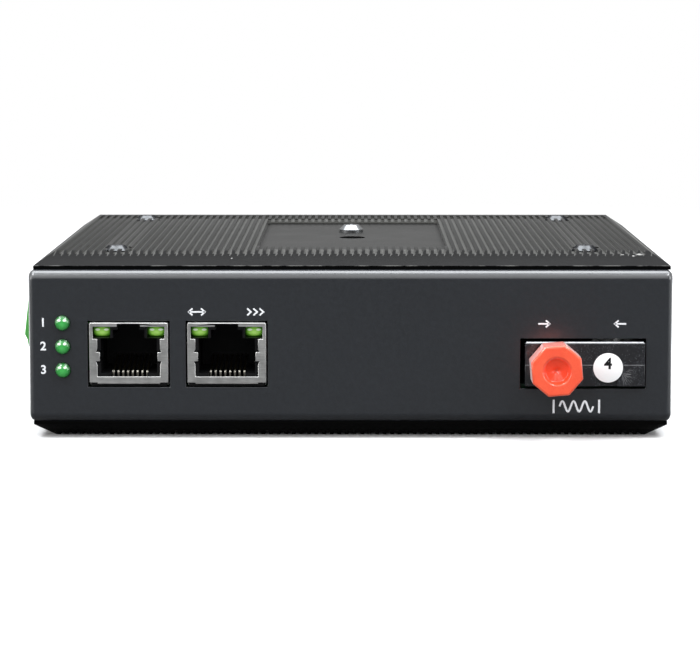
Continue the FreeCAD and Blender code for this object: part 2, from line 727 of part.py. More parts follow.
def switch_chip():
    """Main chip under the heat spreader."""
    return quad_chip(0, SPREADER_Y, CHIP_W, CHIP_W, CHIP_T)


def thermal_pad():
    """Soft pad between the main chip and the heat spreader."""
    half = SPREADER_CORE / 2.0
    y = SPREADER_Y
    z = BOARD_TOP + CHIP_T
    return box(-half, half, y - half, y + half, z, z + PAD_T)


def heat_spreader():
    """Turned-down aluminium block: a plate under the top cover and a core down to the chip."""
    y = SPREADER_Y
    z_low = BOARD_TOP + CHIP_T + PAD_T
    plate_low = HALF_H - SPREADER_T
    half = SPREADER_CORE / 2.0
    plate = rounded_block(-SPREADER_W / 2.0, SPREADER_W / 2.0, y - SPREADER_L / 2.0, y + SPREADER_L / 2.0,
                          plate_low, HALF_H, COVER_CORNER_R)
    core = box(-half, half, y - half, y + half, z_low, plate_low + OVER)
    tools = []
    for hole_y in SPREADER_SCREWS:
        tools.append(rod((0, hole_y, HALF_H - SCREW_BITE - OVER), (0, 0, 1), SCREW_BITE + 2 * OVER, M3_HOLE_R))
    return cut(join([plate, core]), tools)


def small_chips():
    """The interface chip, the power controller and the memory."""
    return Part.makeCompound([
        quad_chip(x, FRAME_D - back, width, length, SMALL_CHIP_T)
        for x, back, width, length in SMALL_CHIPS
    ])


def magnetics():
    """One isolation transformer behind each jack."""
    blocks = []
    for jack_x, shift in zip(JACK_X, MAGNETIC_SHIFT):
        x = jack_x + shift
        block = box(x - MAGNETIC_W / 2.0, x + MAGNETIC_W / 2.0, MAGNETIC_Y - MAGNETIC_L / 2.0,
                    MAGNETIC_Y + MAGNETIC_L / 2.0, BOARD_TOP, BOARD_TOP + MAGNETIC_H)
        top = BOARD_TOP + MAGNETIC_H
        rim = [e for e in block.Edges if abs(e.BoundBox.ZMin - top) < FINE]
        blocks.append(block.makeChamfer(0.5, rim))
    return Part.makeCompound(blocks)


def capacitors():
    """Electrolytic cans with the rolled bead near their feet."""
    groove = CAN_R / 2.0
    profile = [(0, 0), (CAN_R, 0), (CAN_R, groove - 0.6), (CAN_R - CAN_BEAD, groove),
               (CAN_R, groove + 0.6), (CAN_R, CAN_H - 0.5), (CAN_R - 0.5, CAN_H), (0, CAN_H)]
    return Part.makeCompound([turned(profile, (x, CAN_Y, BOARD_TOP), (0, 0, 1)) for x in CAN_X])


def power_inductor():
    """Shielded inductor of the supply."""
    half = COIL_W / 2.0
    block = rounded_block(COIL_X - half, COIL_X + half, COIL_Y - half, COIL_Y + half,
                          BOARD_TOP, BOARD_TOP + COIL_H, COIL_W / 5.0)
    dish = turned([(0, 0), (COIL_W / 3.0, 0), (COIL_W / 2.8, OVER), (0, OVER)],
                  (COIL_X, COIL_Y, BOARD_TOP + COIL_H - 0.5), (0, 0, 1))
    return block.cut(dish)


def crystal_can():
    """Crystal in its drawn metal can, on a brim."""
    r = CRYSTAL_W / 2.0 - FINE
    half_l = CRYSTAL_L / 2.0
    half_w = CRYSTAL_W / 2.0
    can = rounded_block(CRYSTAL_X - half_l, CRYSTAL_X + half_l, CRYSTAL_Y - half_w, CRYSTAL_Y + half_w,
                        BOARD_TOP, BOARD_TOP + CRYSTAL_H, r)
    brim_l = half_l + 0.5
    brim_w = half_w + 0.5
    brim = rounded_block(CRYSTAL_X - brim_l, CRYSTAL_X + brim_l, CRYSTAL_Y - brim_w, CRYSTAL_Y + brim_w,
                         BOARD_TOP, BOARD_TOP + 0.5, r)
    return join([can, brim])


# ---------------------------------------------------------------- RJ45 jacks
def jack_post_points():
    """Where each jack's two posts pass through the board."""
    return [(x + side * JACK_W / 3.2, JACK_DEPTH * 0.55) for x in JACK_X for side in (-1, 1)]


def mirror_points(points):
    """Closed outline from its right half, listed from bottom to top."""
    return points + [(-x, z) for x, z in reversed(points)]


def shield_opening(x, z):
    """Front opening of the shield: plug mouth, lamp windows and latch notch."""
    top = z + JACK_H
    window_low = top - WINDOW_TOP - WINDOW_H
    lip = SHIELD_OPEN_W / 2.0
    tab_low = z + TAB_Z - TAB_H / 2.0
    half = [
        (lip, z + SHIELD_SILL),
        (lip, tab_low - TAB_NOTCH_H),
        (lip + TAB_NOTCH, tab_low),
        (lip - TAB_IN, tab_low),
        (lip - TAB_IN, tab_low + TAB_H),
        (lip + TAB_NOTCH, tab_low + TAB_H),
        (lip, tab_low + TAB_H + TAB_NOTCH_H),
        (lip, window_low),
        (JACK_W / 2.0 - WINDOW_RIM, window_low),
        (JACK_W / 2.0 - WINDOW_RIM, top - WINDOW_TOP),
        (NOTCH_W / 2.0, top - WINDOW_TOP),
        (NOTCH_W / 2.0, top - NOTCH_RIM),
    ]
    return [(x + px, pz) for px, pz in mirror_points(half)]


def jack_shield(x):
    """Folded tin shield of a jack, with its windows and two side spring tabs bent inwards."""
    z = BOARD_TOP
    half = JACK_W / 2.0
    front = -JACK_PROUD
    rear = front + JACK_DEPTH
    outer = box(x - half, x + half, front, rear, z, z + JACK_H)
    outer = outer.makeFillet(SHIELD_T + 0.1, [
        e for e in outer.Edges
        if abs(e.BoundBox.ZMin - z - JACK_H) < FINE and e.BoundBox.XLength < FINE
    ])
    outer = outer.makeFillet(SHIELD_RIM_R, [
        e for e in outer.Edges
        if abs(e.BoundBox.YMax - front) < FINE and e.BoundBox.ZMax > z + SHIELD_SILL
    ])
    inner = box(x - half + SHIELD_T, x + half - SHIELD_T, front + SHIELD_T, rear - SHIELD_T,
                z - OVER, z + JACK_H - SHIELD_T)
    mouth = prism_y(shield_opening(x, z), front - OVER, front + SHIELD_T + OVER)
    tab_low = z + TAB_Z - TAB_H / 2.0
    tools = [inner, mouth]
    for side in (-1, 1):
        wall = x + side * half
        tools.append(box(min(wall, wall - side * SHIELD_T) - FINE, max(wall, wall - side * SHIELD_T) + FINE,
                         front + 2.0, front + 2.0 + TAB_LENGTH, tab_low - 0.3, tab_low + TAB_H + 0.3))
        end = x + side * SHIELD_OPEN_W / 2.0
        tools.append(box(min(end, end + side * JACK_W), max(end, end + side * JACK_W), front - OVER,
                         front + FOOT_RELIEF, z - OVER, z + SHIELD_FOOT + SHIELD_FOOT_STEP))
    tools.append(box(x - half - OVER, x + half + OVER, front - OVER, front + SHIELD_T + FINE,
                     z - OVER, z + SHIELD_FOOT))
    return cut(outer, tools)


def cavity_outline(x, z):
    """Plug cavity with its stepped channel for the latch."""
    half = [
        (CAVITY_W / 2.0, z + CAVITY_FLOOR),
        (CAVITY_W / 2.0, z + CAVITY_TOP),
        (LATCH_W / 2.0, z + CAVITY_TOP),
        (LATCH_W / 2.0, z + LATCH_TOP),
        (LATCH_NECK_W / 2.0, z + LATCH_TOP),
        (LATCH_NECK_W / 2.0, z + LATCH_NECK_TOP),
    ]
    return [(x + px, pz) for px, pz in mirror_points(half)]


def lamp_box(x, side, grow):
    """Space of one lamp beside the latch channel, as (x0, x1, z0, z1)."""
    outer_x = JACK_W / 2.0 - WINDOW_RIM - LAMP_GAP / 2.0
    top = BOARD_TOP + JACK_H - WINDOW_TOP - LAMP_GAP
    x_out = x + side * (outer_x + grow)
    x_in = x + side * (outer_x - LAMP_W - grow)
    return (min(x_out, x_in), max(x_out, x_in), top - LAMP_H - grow, top + grow)


def jack_body(x):
    """Moulded insulator of a jack: cavity, contact slots, lamp channels and two snap posts."""
    z = BOARD_TOP
    half = JACK_W / 2.0 - SHIELD_T - FINE
    front = -JACK_PROUD + SHIELD_T + FINE
    rear = -JACK_PROUD + JACK_DEPTH - SHIELD_T - FINE
    block = box(x - half, x + half, front, rear, z, z + JACK_H - SHIELD_T - FINE)
    tools = [prism_y(cavity_outline(x, z), front - OVER, front + CAVITY_DEPTH)]
    slot_half = CONTACT_SLOT_W / 2.0
    tools.append(box(x - slot_half, x + slot_half, front - OVER, front + CAVITY_DEPTH,
                     z + CAVITY_FLOOR - CONTACT_SLOT_DEEP, z + CAVITY_FLOOR + OVER))
    for side in (-1, 1):
        x0, x1, z0, z1 = lamp_box(x, side, LAMP_GAP)
        tools.append(box(x0, x1, front - OVER, rear + OVER, z0, z1))
        wall = x + side * SHIELD_OPEN_W / 2.0
        inner = wall - side * (TAB_IN + 0.3)
        tools.append(box(min(wall, inner), max(wall, inner), front - OVER, front + TAB_LENGTH,
                         z + TAB_Z - TAB_H / 2.0 - 0.3, z + TAB_Z + TAB_H / 2.0 + 0.3))
    body = cut(block, tools)
    posts = [rod((px, py, BOARD_LOW - 1.0), (0, 0, 1), BOARD_T + 1.0 + FINE, POST_R)
             for px, py in jack_post_points() if abs(px - x) < JACK_W / 2.0]
    return join([body] + posts)


def jack_contacts(x):
    """Eight sprung contacts: each stands up from the slot floor, turns back and rises."""
    floor = BOARD_TOP + CAVITY_FLOOR - CONTACT_SLOT_DEEP + FINE
    knee = BOARD_TOP + CAVITY_FLOOR - CONTACT_KNEE
    front = -JACK_PROUD + SHIELD_T + CONTACT_SET
    back = -JACK_PROUD + SHIELD_T + CAVITY_DEPTH - 0.6
    turn = front + 1.4
    high = BOARD_TOP + CAVITY_FLOOR + CONTACT_RISE
    path = [
        (front + CONTACT_T, floor), (front + 2 * CONTACT_T, floor), (front + 2 * CONTACT_T, knee),
        (turn, knee), (back, high), (back, high + CONTACT_T * 1.1),
        (turn, knee + CONTACT_T * 1.9), (front + CONTACT_T / 2.0, knee + CONTACT_T * 1.6),
        (front, knee + CONTACT_T), (front, knee),
    ]
    pieces = []
    for i in range(CONTACT_COUNT):
        mid = x + (i - (CONTACT_COUNT - 1) / 2.0) * CONTACT_PITCH
        pieces.append(prism_x(path, mid - CONTACT_W / 2.0, mid + CONTACT_W / 2.0))
    return Part.makeCompound(pieces)


def jack_lamps(x):
    """Two light pipes of a jack, set back behind their windows, with crowned fronts."""
    pipes = []
    front = -JACK_PROUD + SHIELD_T + LAMP_SET
    for side in (-1, 1):
        x0, x1, z0, z1 = lamp_box(x, side, 0.0)
        pipe = box(x0, x1, front, -JACK_PROUD + JACK_DEPTH * 0.75, z0, z1)
        corners = [e for e in pipe.Edges if e.BoundBox.XLength < FINE and e.BoundBox.ZLength < FINE]
        pipe = pipe.makeFillet(LAMP_CORNER_R, corners)
        face = [e for e in pipe.Edges if abs(e.BoundBox.YMax - front) < FINE]
        pipes.append(pipe.makeFillet(LAMP_CROWN_R, face))
    return Part.makeCompound(pipes)


# ---------------------------------------------------------------- status lamps
def status_lamps():
    """Three domed lamps that look through the port panel."""
    lamps = []
    dome = [(LED_R * math.cos(math.radians(a)), LED_R * math.sin(math.radians(a)) * 0.8)
            for a in (0, 30, 60)]
    base = LED_BACK + LED_PROUD
    profile = [(0, -base), (LED_R, -base)] + dome + [(0, LED_R * 0.8)]
    for z in LED_Z:
        lamps.append(turned(profile, (LED_X, -LED_PROUD, z), (0, -1, 0)))
    return Part.makeCompound(lamps)


def lamp_holder():
    """Upright moulded block on the board that carries the three lamps."""
    half = LED_HOLDER_W / 2.0
    top = LED_Z[-1] + LED_HOLDER_RIM
    side_view = [(LED_HOLDER_FRONT, BOARD_TOP), (LED_HOLDER_FRONT, top), (LED_HOLDER_REAR - 2.0, top),
                 (LED_HOLDER_REAR, top - 3.0), (LED_HOLDER_REAR, BOARD_TOP)]
    block = prism_x(side_view, LED_X - half, LED_X + half)
    tools = [rod((LED_X, LED_HOLDER_FRONT - OVER, z), (0, 1, 0), LED_BACK - LED_HOLDER_FRONT + OVER + FINE,
                 LED_R + LED_SOCKET) for z in LED_Z]
    return cut(block, tools)


# ---------------------------------------------------------------- optical transceiver
def transceiver_pin_points():
    """The row of pins across the transceiver's back."""
    y = TRX_FRONT + TRX_LEN - 3.0
    first = TRX_X - (PIN_COUNT - 1) * PIN_PITCH / 2.0
    return [(first + i * PIN_PITCH, y) for i in range(PIN_COUNT)]


def transceiver_half(z0, z1, open_side):
    """One half of the moulded case, hollow towards the parting line."""
    x0 = TRX_X - TRX_W / 2.0
    x1 = TRX_X + TRX_W / 2.0
    rear = TRX_FRONT + TRX_LEN
    block = box(x0, x1, TRX_FRONT, rear, z0, z1)
    far = z1 if open_side < 0 else z0
    edges = [e for e in block.Edges if abs(e.BoundBox.ZMin - far) < FINE and abs(e.BoundBox.ZMax - far) < FINE]
    if open_side < 0:
        block = block.makeChamfer(TRX_CHAMFER, edges)
    inside_low = z0 + TRX_WALL if open_side > 0 else z0 - OVER
    inside_high = z1 + OVER if open_side > 0 else z1 - TRX_WALL
    hollow = box(x0 + TRX_WALL, x1 - TRX_WALL, TRX_FRONT + BARREL_SPIGOT_LEN + TRX_WALL, rear - TRX_WALL,
                 inside_low, inside_high)
    bore = rod((PORT_POINT[0], TRX_FRONT - OVER, PORT_POINT[1]), (0, 1, 0),
               OVER + BARREL_SPIGOT_LEN + TRX_WALL + OVER, BARREL_SPIGOT_R + FINE)
    return cut(block, [hollow, bore])


def transceiver_base():
    """Lower half of the transceiver, with the blank port's shallow notch."""
    z0 = BOARD_TOP
    base = transceiver_half(z0, z0 + TRX_SPLIT, 1)
    x = TRX_X + TRX_NOTCH_X
    notch = box(x - TRX_NOTCH_W / 2.0, x + TRX_NOTCH_W / 2.0, TRX_FRONT - OVER, TRX_FRONT + TRX_NOTCH_T,
                z0 - OVER, z0 + TRX_NOTCH_H)
    hole = LEAD_HALF + FINE
    pins = [box(px - hole, px + hole, py - hole, py + hole, z0 - OVER, z0 + TRX_WALL + OVER)
            for px, py in transceiver_pin_points()]
    return cut(base, [notch] + pins)


def transceiver_hood():
    """Upper half of the transceiver."""
    return transceiver_half(BOARD_TOP + TRX_SPLIT, BOARD_TOP + TRX_H, -1)


def transceiver_pins():
    """Nine signal pins from the transceiver through the board."""
    low = BOARD_LOW - PIN_TAIL
    high = BOARD_TOP + TRX_WALL + 0.6
    return Part.makeCompound([
        box(x - LEAD_HALF, x + LEAD_HALF, y - LEAD_HALF, y + LEAD_HALF, low, high)
        for x, y in transceiver_pin_points()
    ])


def fibre_barrel():
    """Threaded-connector barrel: spigot held by both case halves, flange, nose with a key slot."""
    x, z = PORT_POINT
    back = -BARREL_SPIGOT_LEN
    tip = BARREL_FLANGE_T + BARREL_LEN - CAP_WALL
    profile = [
        (SLEEVE_R + FINE, back), (BARREL_SPIGOT_R, back), (BARREL_SPIGOT_R, 0), (BARREL_FLANGE_R, 0),
        (BARREL_FLANGE_R, BARREL_FLANGE_T - 0.25), (BARREL_FLANGE_R - 0.25, BARREL_FLANGE_T),
        (BARREL_R, BARREL_FLANGE_T), (BARREL_R, tip - 0.4), (BARREL_R - 0.4, tip),
        (BARREL_BORE_R, tip), (BARREL_BORE_R, 0), (SLEEVE_R + FINE, 0),
    ]
    body = turned(profile, (x, TRX_FRONT, z), (0, -1, 0))
    slot = box(x - BARREL_KEY_W / 2.0, x + BARREL_KEY_W / 2.0, TRX_FRONT - tip - OVER,
               TRX_FRONT - tip + BARREL_KEY_T, z + BARREL_BORE_R - OVER, z + BARREL_R + OVER)
    return body.cut(slot)


def ferrule_sleeve():
    """Ceramic sleeve on the barrel's axis."""
    x, z = PORT_POINT
    back = -BARREL_SPIGOT_LEN
    profile = [(SLEEVE_BORE_R, back), (SLEEVE_R, back), (SLEEVE_R, back + SLEEVE_LEN - 0.2),
               (SLEEVE_R - 0.2, back + SLEEVE_LEN), (SLEEVE_BORE_R + 0.1, back + SLEEVE_LEN),
               (SLEEVE_BORE_R, back + SLEEVE_LEN - 0.2)]
    return turned(profile, (x, TRX_FRONT, z), (0, -1, 0))


def dust_cap():
    """Eight-sided cap: bored over the barrel, chamfered, with a dished face and a centre dimple."""
    x, z = PORT_POINT
    corner = CAP_ACROSS / 2.0 / math.cos(math.pi / 8.0)
    ring = []
    for i in range(8):
        angle = math.radians(22.5 + CAP_TURN + 45.0 * i)
        ring.append((x + corner * math.cos(angle), z + corner * math.sin(angle)))
    back = TRX_FRONT - BARREL_FLANGE_T - FINE
    prism = prism_y(ring, back, CAP_FACE)
    face = [e for e in prism.Edges if abs(e.BoundBox.YMax - CAP_FACE) < FINE]
    prism = prism.makeChamfer(CAP_CHAMFER, face)
    bore = rod((x, back + OVER, z), (0, -1, 0), OVER + CAP_LEN - CAP_WALL, BARREL_R + CAP_FIT)
    dish = turned(
        [(0, CAP_DIMPLE_DEPTH * -1 - CAP_DISH_DEPTH), (CAP_DIMPLE_R / 3.0, -CAP_DIMPLE_DEPTH - CAP_DISH_DEPTH),
         (CAP_DIMPLE_R, -CAP_DISH_DEPTH), (CAP_DISH_R * 0.8, -CAP_DISH_DEPTH * 0.85),
         (CAP_DISH_R, 0), (CAP_DISH_R, OVER), (0, OVER)],
        (x, CAP_FACE, z), (0, -1, 0))
    return cut(prism, [bore, dish])


# ---------------------------------------------------------------- power terminals
def pole_centres():
    """Middle of each pole along the terminal strip."""
    return [TERM_FRONT + (i + 0.5) * POLE_PITCH for i in range(POLES)]


def header_tail_x():
    """Where the header's pins turn down through the board."""
    return HEADER_X + HEADER_DEPTH + PIN_SQ * 1.5


def pin_height():
    """Middle of the header's pins above the board."""
    return BOARD_TOP + HEADER_H / 2.0


def terminal_header():
    """Open shroud on the board that guides the terminal plug."""
    x0 = HEADER_X
    x1 = HEADER_X + HEADER_DEPTH
    y0 = TERM_FRONT - HEADER_WALL
    y1 = TERM_REAR + HEADER_WALL
    z1 = BOARD_TOP + HEADER_H
    block = box(x0, x1, y0, y1, BOARD_TOP, z1)
    mouth = box(x0 - OVER, x1 - HEADER_WALL, TERM_FRONT, TERM_REAR, BOARD_TOP + HEADER_WALL, z1 - HEADER_WALL)
    half = PIN_SQ / 2.0
    z = pin_height()
    holes = [box(x1 - HEADER_WALL - OVER, x1 + OVER, y - half, y + half, z - half, z + half)
             for y in pole_centres()]
    return cut(block, [mouth] + holes)


def terminal_pins():
    """Six square pins, bent down through the board behind the shroud."""
    half = PIN_SQ / 2.0
    z = pin_height()
    tail = header_tail_x()
    start = HEADER_X + HEADER_DEPTH - HEADER_WALL - PIN_REACH
    low = BOARD_LOW - PIN_TAIL
    outline = [(start, z - half), (start, z + half), (tail + half, z + half), (tail + half, low),
               (tail - half, low), (tail - half, z - half)]
    return Part.makeCompound([prism_y(outline, y - half, y + half) for y in pole_centres()])


def plug_outline():
    """Side view of the plug: slanted outer face, shoulder at the header's mouth, nose."""
    low = BOARD_TOP + PLUG_LIFT
    shoulder = HEADER_X - FINE
    step = BOARD_TOP + TERM_STEP
    foot = BOARD_TOP + TERM_FOOT
    waist = BOARD_TOP + TERM_WAIST
    return [(shoulder, low), (TERM_X + TERM_STEP_IN, low), (TERM_X + TERM_STEP_IN, step - 0.1),
            (TERM_X + TERM_SLANT_LOW + 0.2, step), (TERM_X + TERM_SLANT_LOW, foot),
            (TERM_X, waist), (TERM_X + TERM_SLANT_TOP, TERM_TOP - 0.6),
            (TERM_X + TERM_SLANT_TOP + 0.6, TERM_TOP), (shoulder, TERM_TOP)]


def terminal_plug():
    """Pluggable terminal block: set-back wire entries below, screw wells above, nose with pin slots."""
    body = prism_y(plug_outline(), TERM_FRONT, TERM_REAR)
    nose_low = BOARD_TOP + HEADER_WALL + NOSE_GAP
    nose_high = BOARD_TOP + HEADER_H - HEADER_WALL - NOSE_GAP
    nose = box(HEADER_X - OVER, HEADER_X + NOSE_LEN, TERM_FRONT + NOSE_GAP, TERM_REAR - NOSE_GAP,
               nose_low, nose_high)
    z = pin_height()
    half = PIN_SLOT / 2.0
    tools = []
    for y in pole_centres():
        tools.append(box(TERM_X - OVER, TERM_X + CAGE_SET + CAGE_LEN, y - WIRE_W / 2.0, y + WIRE_W / 2.0,
                         WIRE_Z - WIRE_H / 2.0, WIRE_Z + WIRE_H / 2.0))
        tools.append(rod((TERM_X - OVER, y, DRIVER_Z), (1, 0, 0), OVER + CAGE_SET + CAGE_LEN, DRIVER_R))
        tools.append(box(HEADER_X + 1.0, HEADER_X + NOSE_LEN + OVER, y - half, y + half, z - half, z + half))
    return cut(join([body, nose]), tools)


def terminal_cages():
    """Rising clamps behind the wire entries, each a small square tube."""
    cages = []
    x0 = TERM_X + CAGE_SET + TERM_SLANT_LOW
    x1 = TERM_X + CAGE_SET + CAGE_LEN
    z0 = WIRE_Z - WIRE_H / 2.0
    z1 = WIRE_Z + WIRE_H / 2.0
    for y in pole_centres():
        block = box(x0, x1, y - WIRE_W / 2.0, y + WIRE_W / 2.0, z0, z1)
        inner = box(x0 - OVER, x1 - CAGE_WALL, y - WIRE_W / 2.0 + CAGE_WALL, y + WIRE_W / 2.0 - CAGE_WALL,
                    z0 + CAGE_WALL, z1 - CAGE_WALL)
        cages.append(block.cut(inner))
    return Part.makeCompound(cages)


def terminal_screws():
    """Slotted clamp screws at the bottom of their wells."""
    screws = []
    x1 = TERM_X + CAGE_SET + CAGE_LEN
    for i, y in enumerate(pole_centres()):
        body = rod((x1, y, DRIVER_Z), (-1, 0, 0), CLAMP_SCREW_LEN, CLAMP_SCREW_R)
        slot = box(x1 - CLAMP_SCREW_LEN - OVER, x1 - CLAMP_SCREW_LEN + CLAMP_SLOT_DEPTH,
                   y - CLAMP_SCREW_R - OVER, y + CLAMP_SCREW_R + OVER,
                   DRIVER_Z - CLAMP_SLOT_W / 2.0, DRIVER_Z + CLAMP_SLOT_W / 2.0)
        slot.rotate(Vector(x1, y, DRIVER_Z), Vector(1, 0, 0), 37.0 * i)
        screws.append(body.cut(slot))
    return Part.makeCompound(screws)


# ---------------------------------------------------------------- rail clip
def rail_bracket():
    """Clip base on the rear panel: rail seat, fixed hook and the guide of the latch."""
    y0 = FRAME_D
    seat = FRAME_D + CLIP_SEAT
    hook_in = RAIL_W / 2.0 + RAIL_PLAY
    lip_low = seat + RAIL_EDGE_T + RAIL_PLAY
    outline = [
        (CLIP_LOW, y0), (hook_in + HOOK_WALL, y0), (hook_in + HOOK_WALL, lip_low + HOOK_T - 0.8),
        (hook_in + HOOK_WALL - 0.8, lip_low + HOOK_T), (hook_in - HOOK_REACH + 1.2, lip_low + HOOK_T),
        (hook_in - HOOK_REACH, lip_low + HOOK_T - 1.2), (hook_in - HOOK_REACH, lip_low),
        (hook_in, lip_low), (hook_in, seat), (CHANNEL_END, seat), (CLIP_LOW, seat),
    ]
    body = prism_z(outline, -CLIP_W / 2.0, CLIP_W / 2.0)
    floor = y0 + CLIP_BASE
    half = CHANNEL_W / 2.0
    lip = half - CHANNEL_LIP
    channel = box(CLIP_LOW - OVER, CHANNEL_END, floor, seat - CHANNEL_LIP_T, -half, half)
    mouth = box(CLIP_LOW - OVER, CHANNEL_END, floor, seat + OVER, -lip, lip)
    tools = [channel, mouth]
    for side in (-1, 1):
        edge = side * (half + GUIDE_T)
        out = side * (CLIP_W / 2.0 + OVER)
        tools.append(box(CLIP_LOW - OVER, CHANNEL_END - 2.0, floor, seat + OVER, min(edge, out), max(edge, out)))
    for x, z in CLIP_SCREWS:
        tools.append(rod((x, y0 - OVER, z), (0, 1, 0), CLIP_SEAT + 2 * OVER, M3_PASS_R))
        tools.append(rod((x, seat - CLIP_HEAD_SEAT, z), (0, 1, 0), CLIP_HEAD_SEAT + OVER, SPOTFACE_R))
    return cut(body, tools)


def latch_lip_x():
    """Face of the latch's nose that bears on the rail's edge."""
    return -RAIL_W / 2.0 - RAIL_PLAY


def rail_latch():
    """Sliding latch: tongue in the guide, ramped nose over the rail's edge, slotted pull end."""
    floor = FRAME_D + CLIP_BASE + LATCH_PLAY
    seat = FRAME_D + CLIP_SEAT
    tongue_top = seat - CHANNEL_LIP_T - LATCH_PLAY
    half = CHANNEL_W / 2.0 - LATCH_PLAY
    neck = half - CHANNEL_LIP
    lip_low = seat + RAIL_EDGE_T + RAIL_PLAY
    nose = latch_lip_x()
    tail = CLIP_LOW - LATCH_TAIL
    tongue = box(tail, LATCH_HEAD, floor, tongue_top, -half, half)
    top = seat - LATCH_PLAY
    riser = [
        (tail, floor), (tail, lip_low), (tail + LATCH_STEP, lip_low), (tail + LATCH_STEP, top),
        (nose - HOOK_WALL, top), (nose - HOOK_WALL, lip_low + HOOK_T - 0.8),
        (nose - HOOK_WALL + 0.8, lip_low + HOOK_T), (nose, lip_low + HOOK_T),
        (nose + HOOK_REACH, lip_low + 0.6), (nose + HOOK_REACH, lip_low), (nose, lip_low),
        (nose, top), (LATCH_HEAD, top), (LATCH_HEAD, floor),
    ]
    upper = prism_z(riser, -neck, neck)
    slot = box(tail + LATCH_STEP + 1.0, tail + LATCH_STEP + 3.0, floor - OVER, lip_low + OVER,
               -neck / 2.0, neck / 2.0)
    return join([tongue, upper]).cut(slot)


def latch_spring():
    """Folded strip spring between the latch and the end of its guide."""
    y0 = FRAME_D + CLIP_BASE + LATCH_PLAY
    y1 = y0 + SPRING_H
    start = LATCH_HEAD + FINE
    end = CHANNEL_END - FINE
    half = SPRING_SPAN / 2.0
    pitch = (end - start - SPRING_W) / (2 * SPRING_TURNS)
    bars = []
    for i in range(2 * SPRING_TURNS + 1):
        x = start + i * pitch
        bars.append(box(x, x + SPRING_W, y0, y1, -half, half))
    for i in range(2 * SPRING_TURNS):
        x = start + i * pitch
        side = 1 if i % 2 == 0 else -1
        edge = side * (half - SPRING_W)
        bars.append(box(x, x + pitch + SPRING_W, y0, y1, min(edge, side * half), max(edge, side * half)))
    return join(bars)


# ---------------------------------------------------------------- the whole unit
def build():
    """Every node with its shape, in the housing's frame."""
    nodes = {
        "body_frame": body_frame(),
        "rear_panel": rear_panel(),
        "top_cover": top_cover(),
        "bottom_cover": bottom_cover(),
        "cover_screws": cover_screws(),
        "spreader_screws": spreader_screws(),
        "rear_panel_screws": rear_panel_screws(),
        "cover_nuts": cover_nuts(),
        "board_posts": board_posts(),
        "board_screws": board_screws(),
        "main_board": main_board(),
        "heat_spreader": heat_spreader(),
        "thermal_pad": thermal_pad(),
        "switch_chip": switch_chip(),
        "small_chips": small_chips(),
        "magnetics": magnetics(),
        "capacitors": capacitors(),
        "power_inductor": power_inductor(),
        "crystal_can": crystal_can(),
        "status_lamps": status_lamps(),
        "lamp_holder": lamp_holder(),
        "transceiver_base": transceiver_base(),
        "transceiver_hood": transceiver_hood(),
        "transceiver_pins": transceiver_pins(),
        "fibre_barrel": fibre_barrel(),
        "ferrule_sleeve": ferrule_sleeve(),
        "dust_cap": dust_cap(),
        "terminal_header": terminal_header(),
        "terminal_pins": terminal_pins(),
        "terminal_plug": terminal_plug(),
        "terminal_cages": terminal_cages(),
        "terminal_screws": terminal_screws(),
        "rail_bracket": rail_bracket(),
        "rail_latch": rail_latch(),
        "latch_spring": latch_spring(),
        "bracket_screws": bracket_screws(),
    }
    for number, x in enumerate(JACK_X, start=1):
        nodes["jack_shield_%d" % number] = jack_shield(x)
        nodes["jack_body_%d" % number] = jack_body(x)
        nodes["jack_contacts_%d" % number] = jack_contacts(x)
        nodes["jack_lamps_%d" % number] = jack_lamps(x)
    return nodes


os.makedirs("parts", exist_ok=True)
for name, shape in build().items():
    shape.translate(OFFSET)
    solids = len(shape.Solids)
    print("%-20s solids %2d  volume %10.2f  valid %s" % (name, solids, shape.Volume, shape.isValid()))
    shape.exportStep("parts/%s.step" % name)
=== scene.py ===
"""Looks of a DIN-rail fibre media converter.

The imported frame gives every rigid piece. This script gives each piece its finish, stands in for those whose
rounded edges, ribs or domes show, adds the print and the round label, and sets up the studio.
"""

from __future__ import annotations

import json
import logging
import math
from abc import ABC, abstractmethod
from collections.abc import Callable, Mapping, Sequence
from dataclasses import dataclass, field, replace
from enum import Enum
from typing import Any

import bmesh
import bpy
from mathutils import Matrix, Vector

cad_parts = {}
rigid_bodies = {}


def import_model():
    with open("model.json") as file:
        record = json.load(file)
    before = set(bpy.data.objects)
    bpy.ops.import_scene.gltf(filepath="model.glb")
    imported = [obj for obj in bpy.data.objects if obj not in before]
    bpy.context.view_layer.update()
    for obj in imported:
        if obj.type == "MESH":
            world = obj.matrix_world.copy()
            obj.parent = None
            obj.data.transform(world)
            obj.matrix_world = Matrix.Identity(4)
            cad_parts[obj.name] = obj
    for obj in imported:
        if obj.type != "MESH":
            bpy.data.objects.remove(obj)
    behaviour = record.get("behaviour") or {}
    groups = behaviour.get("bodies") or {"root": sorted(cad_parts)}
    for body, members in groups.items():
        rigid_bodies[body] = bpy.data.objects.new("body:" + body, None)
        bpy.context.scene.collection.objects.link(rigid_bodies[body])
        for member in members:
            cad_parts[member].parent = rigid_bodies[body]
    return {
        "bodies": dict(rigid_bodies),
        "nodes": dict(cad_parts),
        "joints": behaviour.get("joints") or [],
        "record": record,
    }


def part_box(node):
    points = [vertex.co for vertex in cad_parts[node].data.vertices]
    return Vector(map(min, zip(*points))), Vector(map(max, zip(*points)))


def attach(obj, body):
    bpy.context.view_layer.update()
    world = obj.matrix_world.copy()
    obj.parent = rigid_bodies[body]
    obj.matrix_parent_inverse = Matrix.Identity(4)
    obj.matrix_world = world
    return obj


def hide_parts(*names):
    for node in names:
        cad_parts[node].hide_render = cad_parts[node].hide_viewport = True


LOG = logging.getLogger("media_converter")
MM = 0.001
SHARP_ANGLE = 0.6
ORIGIN = (0.0, 0.0, 0.0)
UNSCALED = (1.0, 1.0, 1.0)
WHITE = (1.0, 1.0, 1.0)
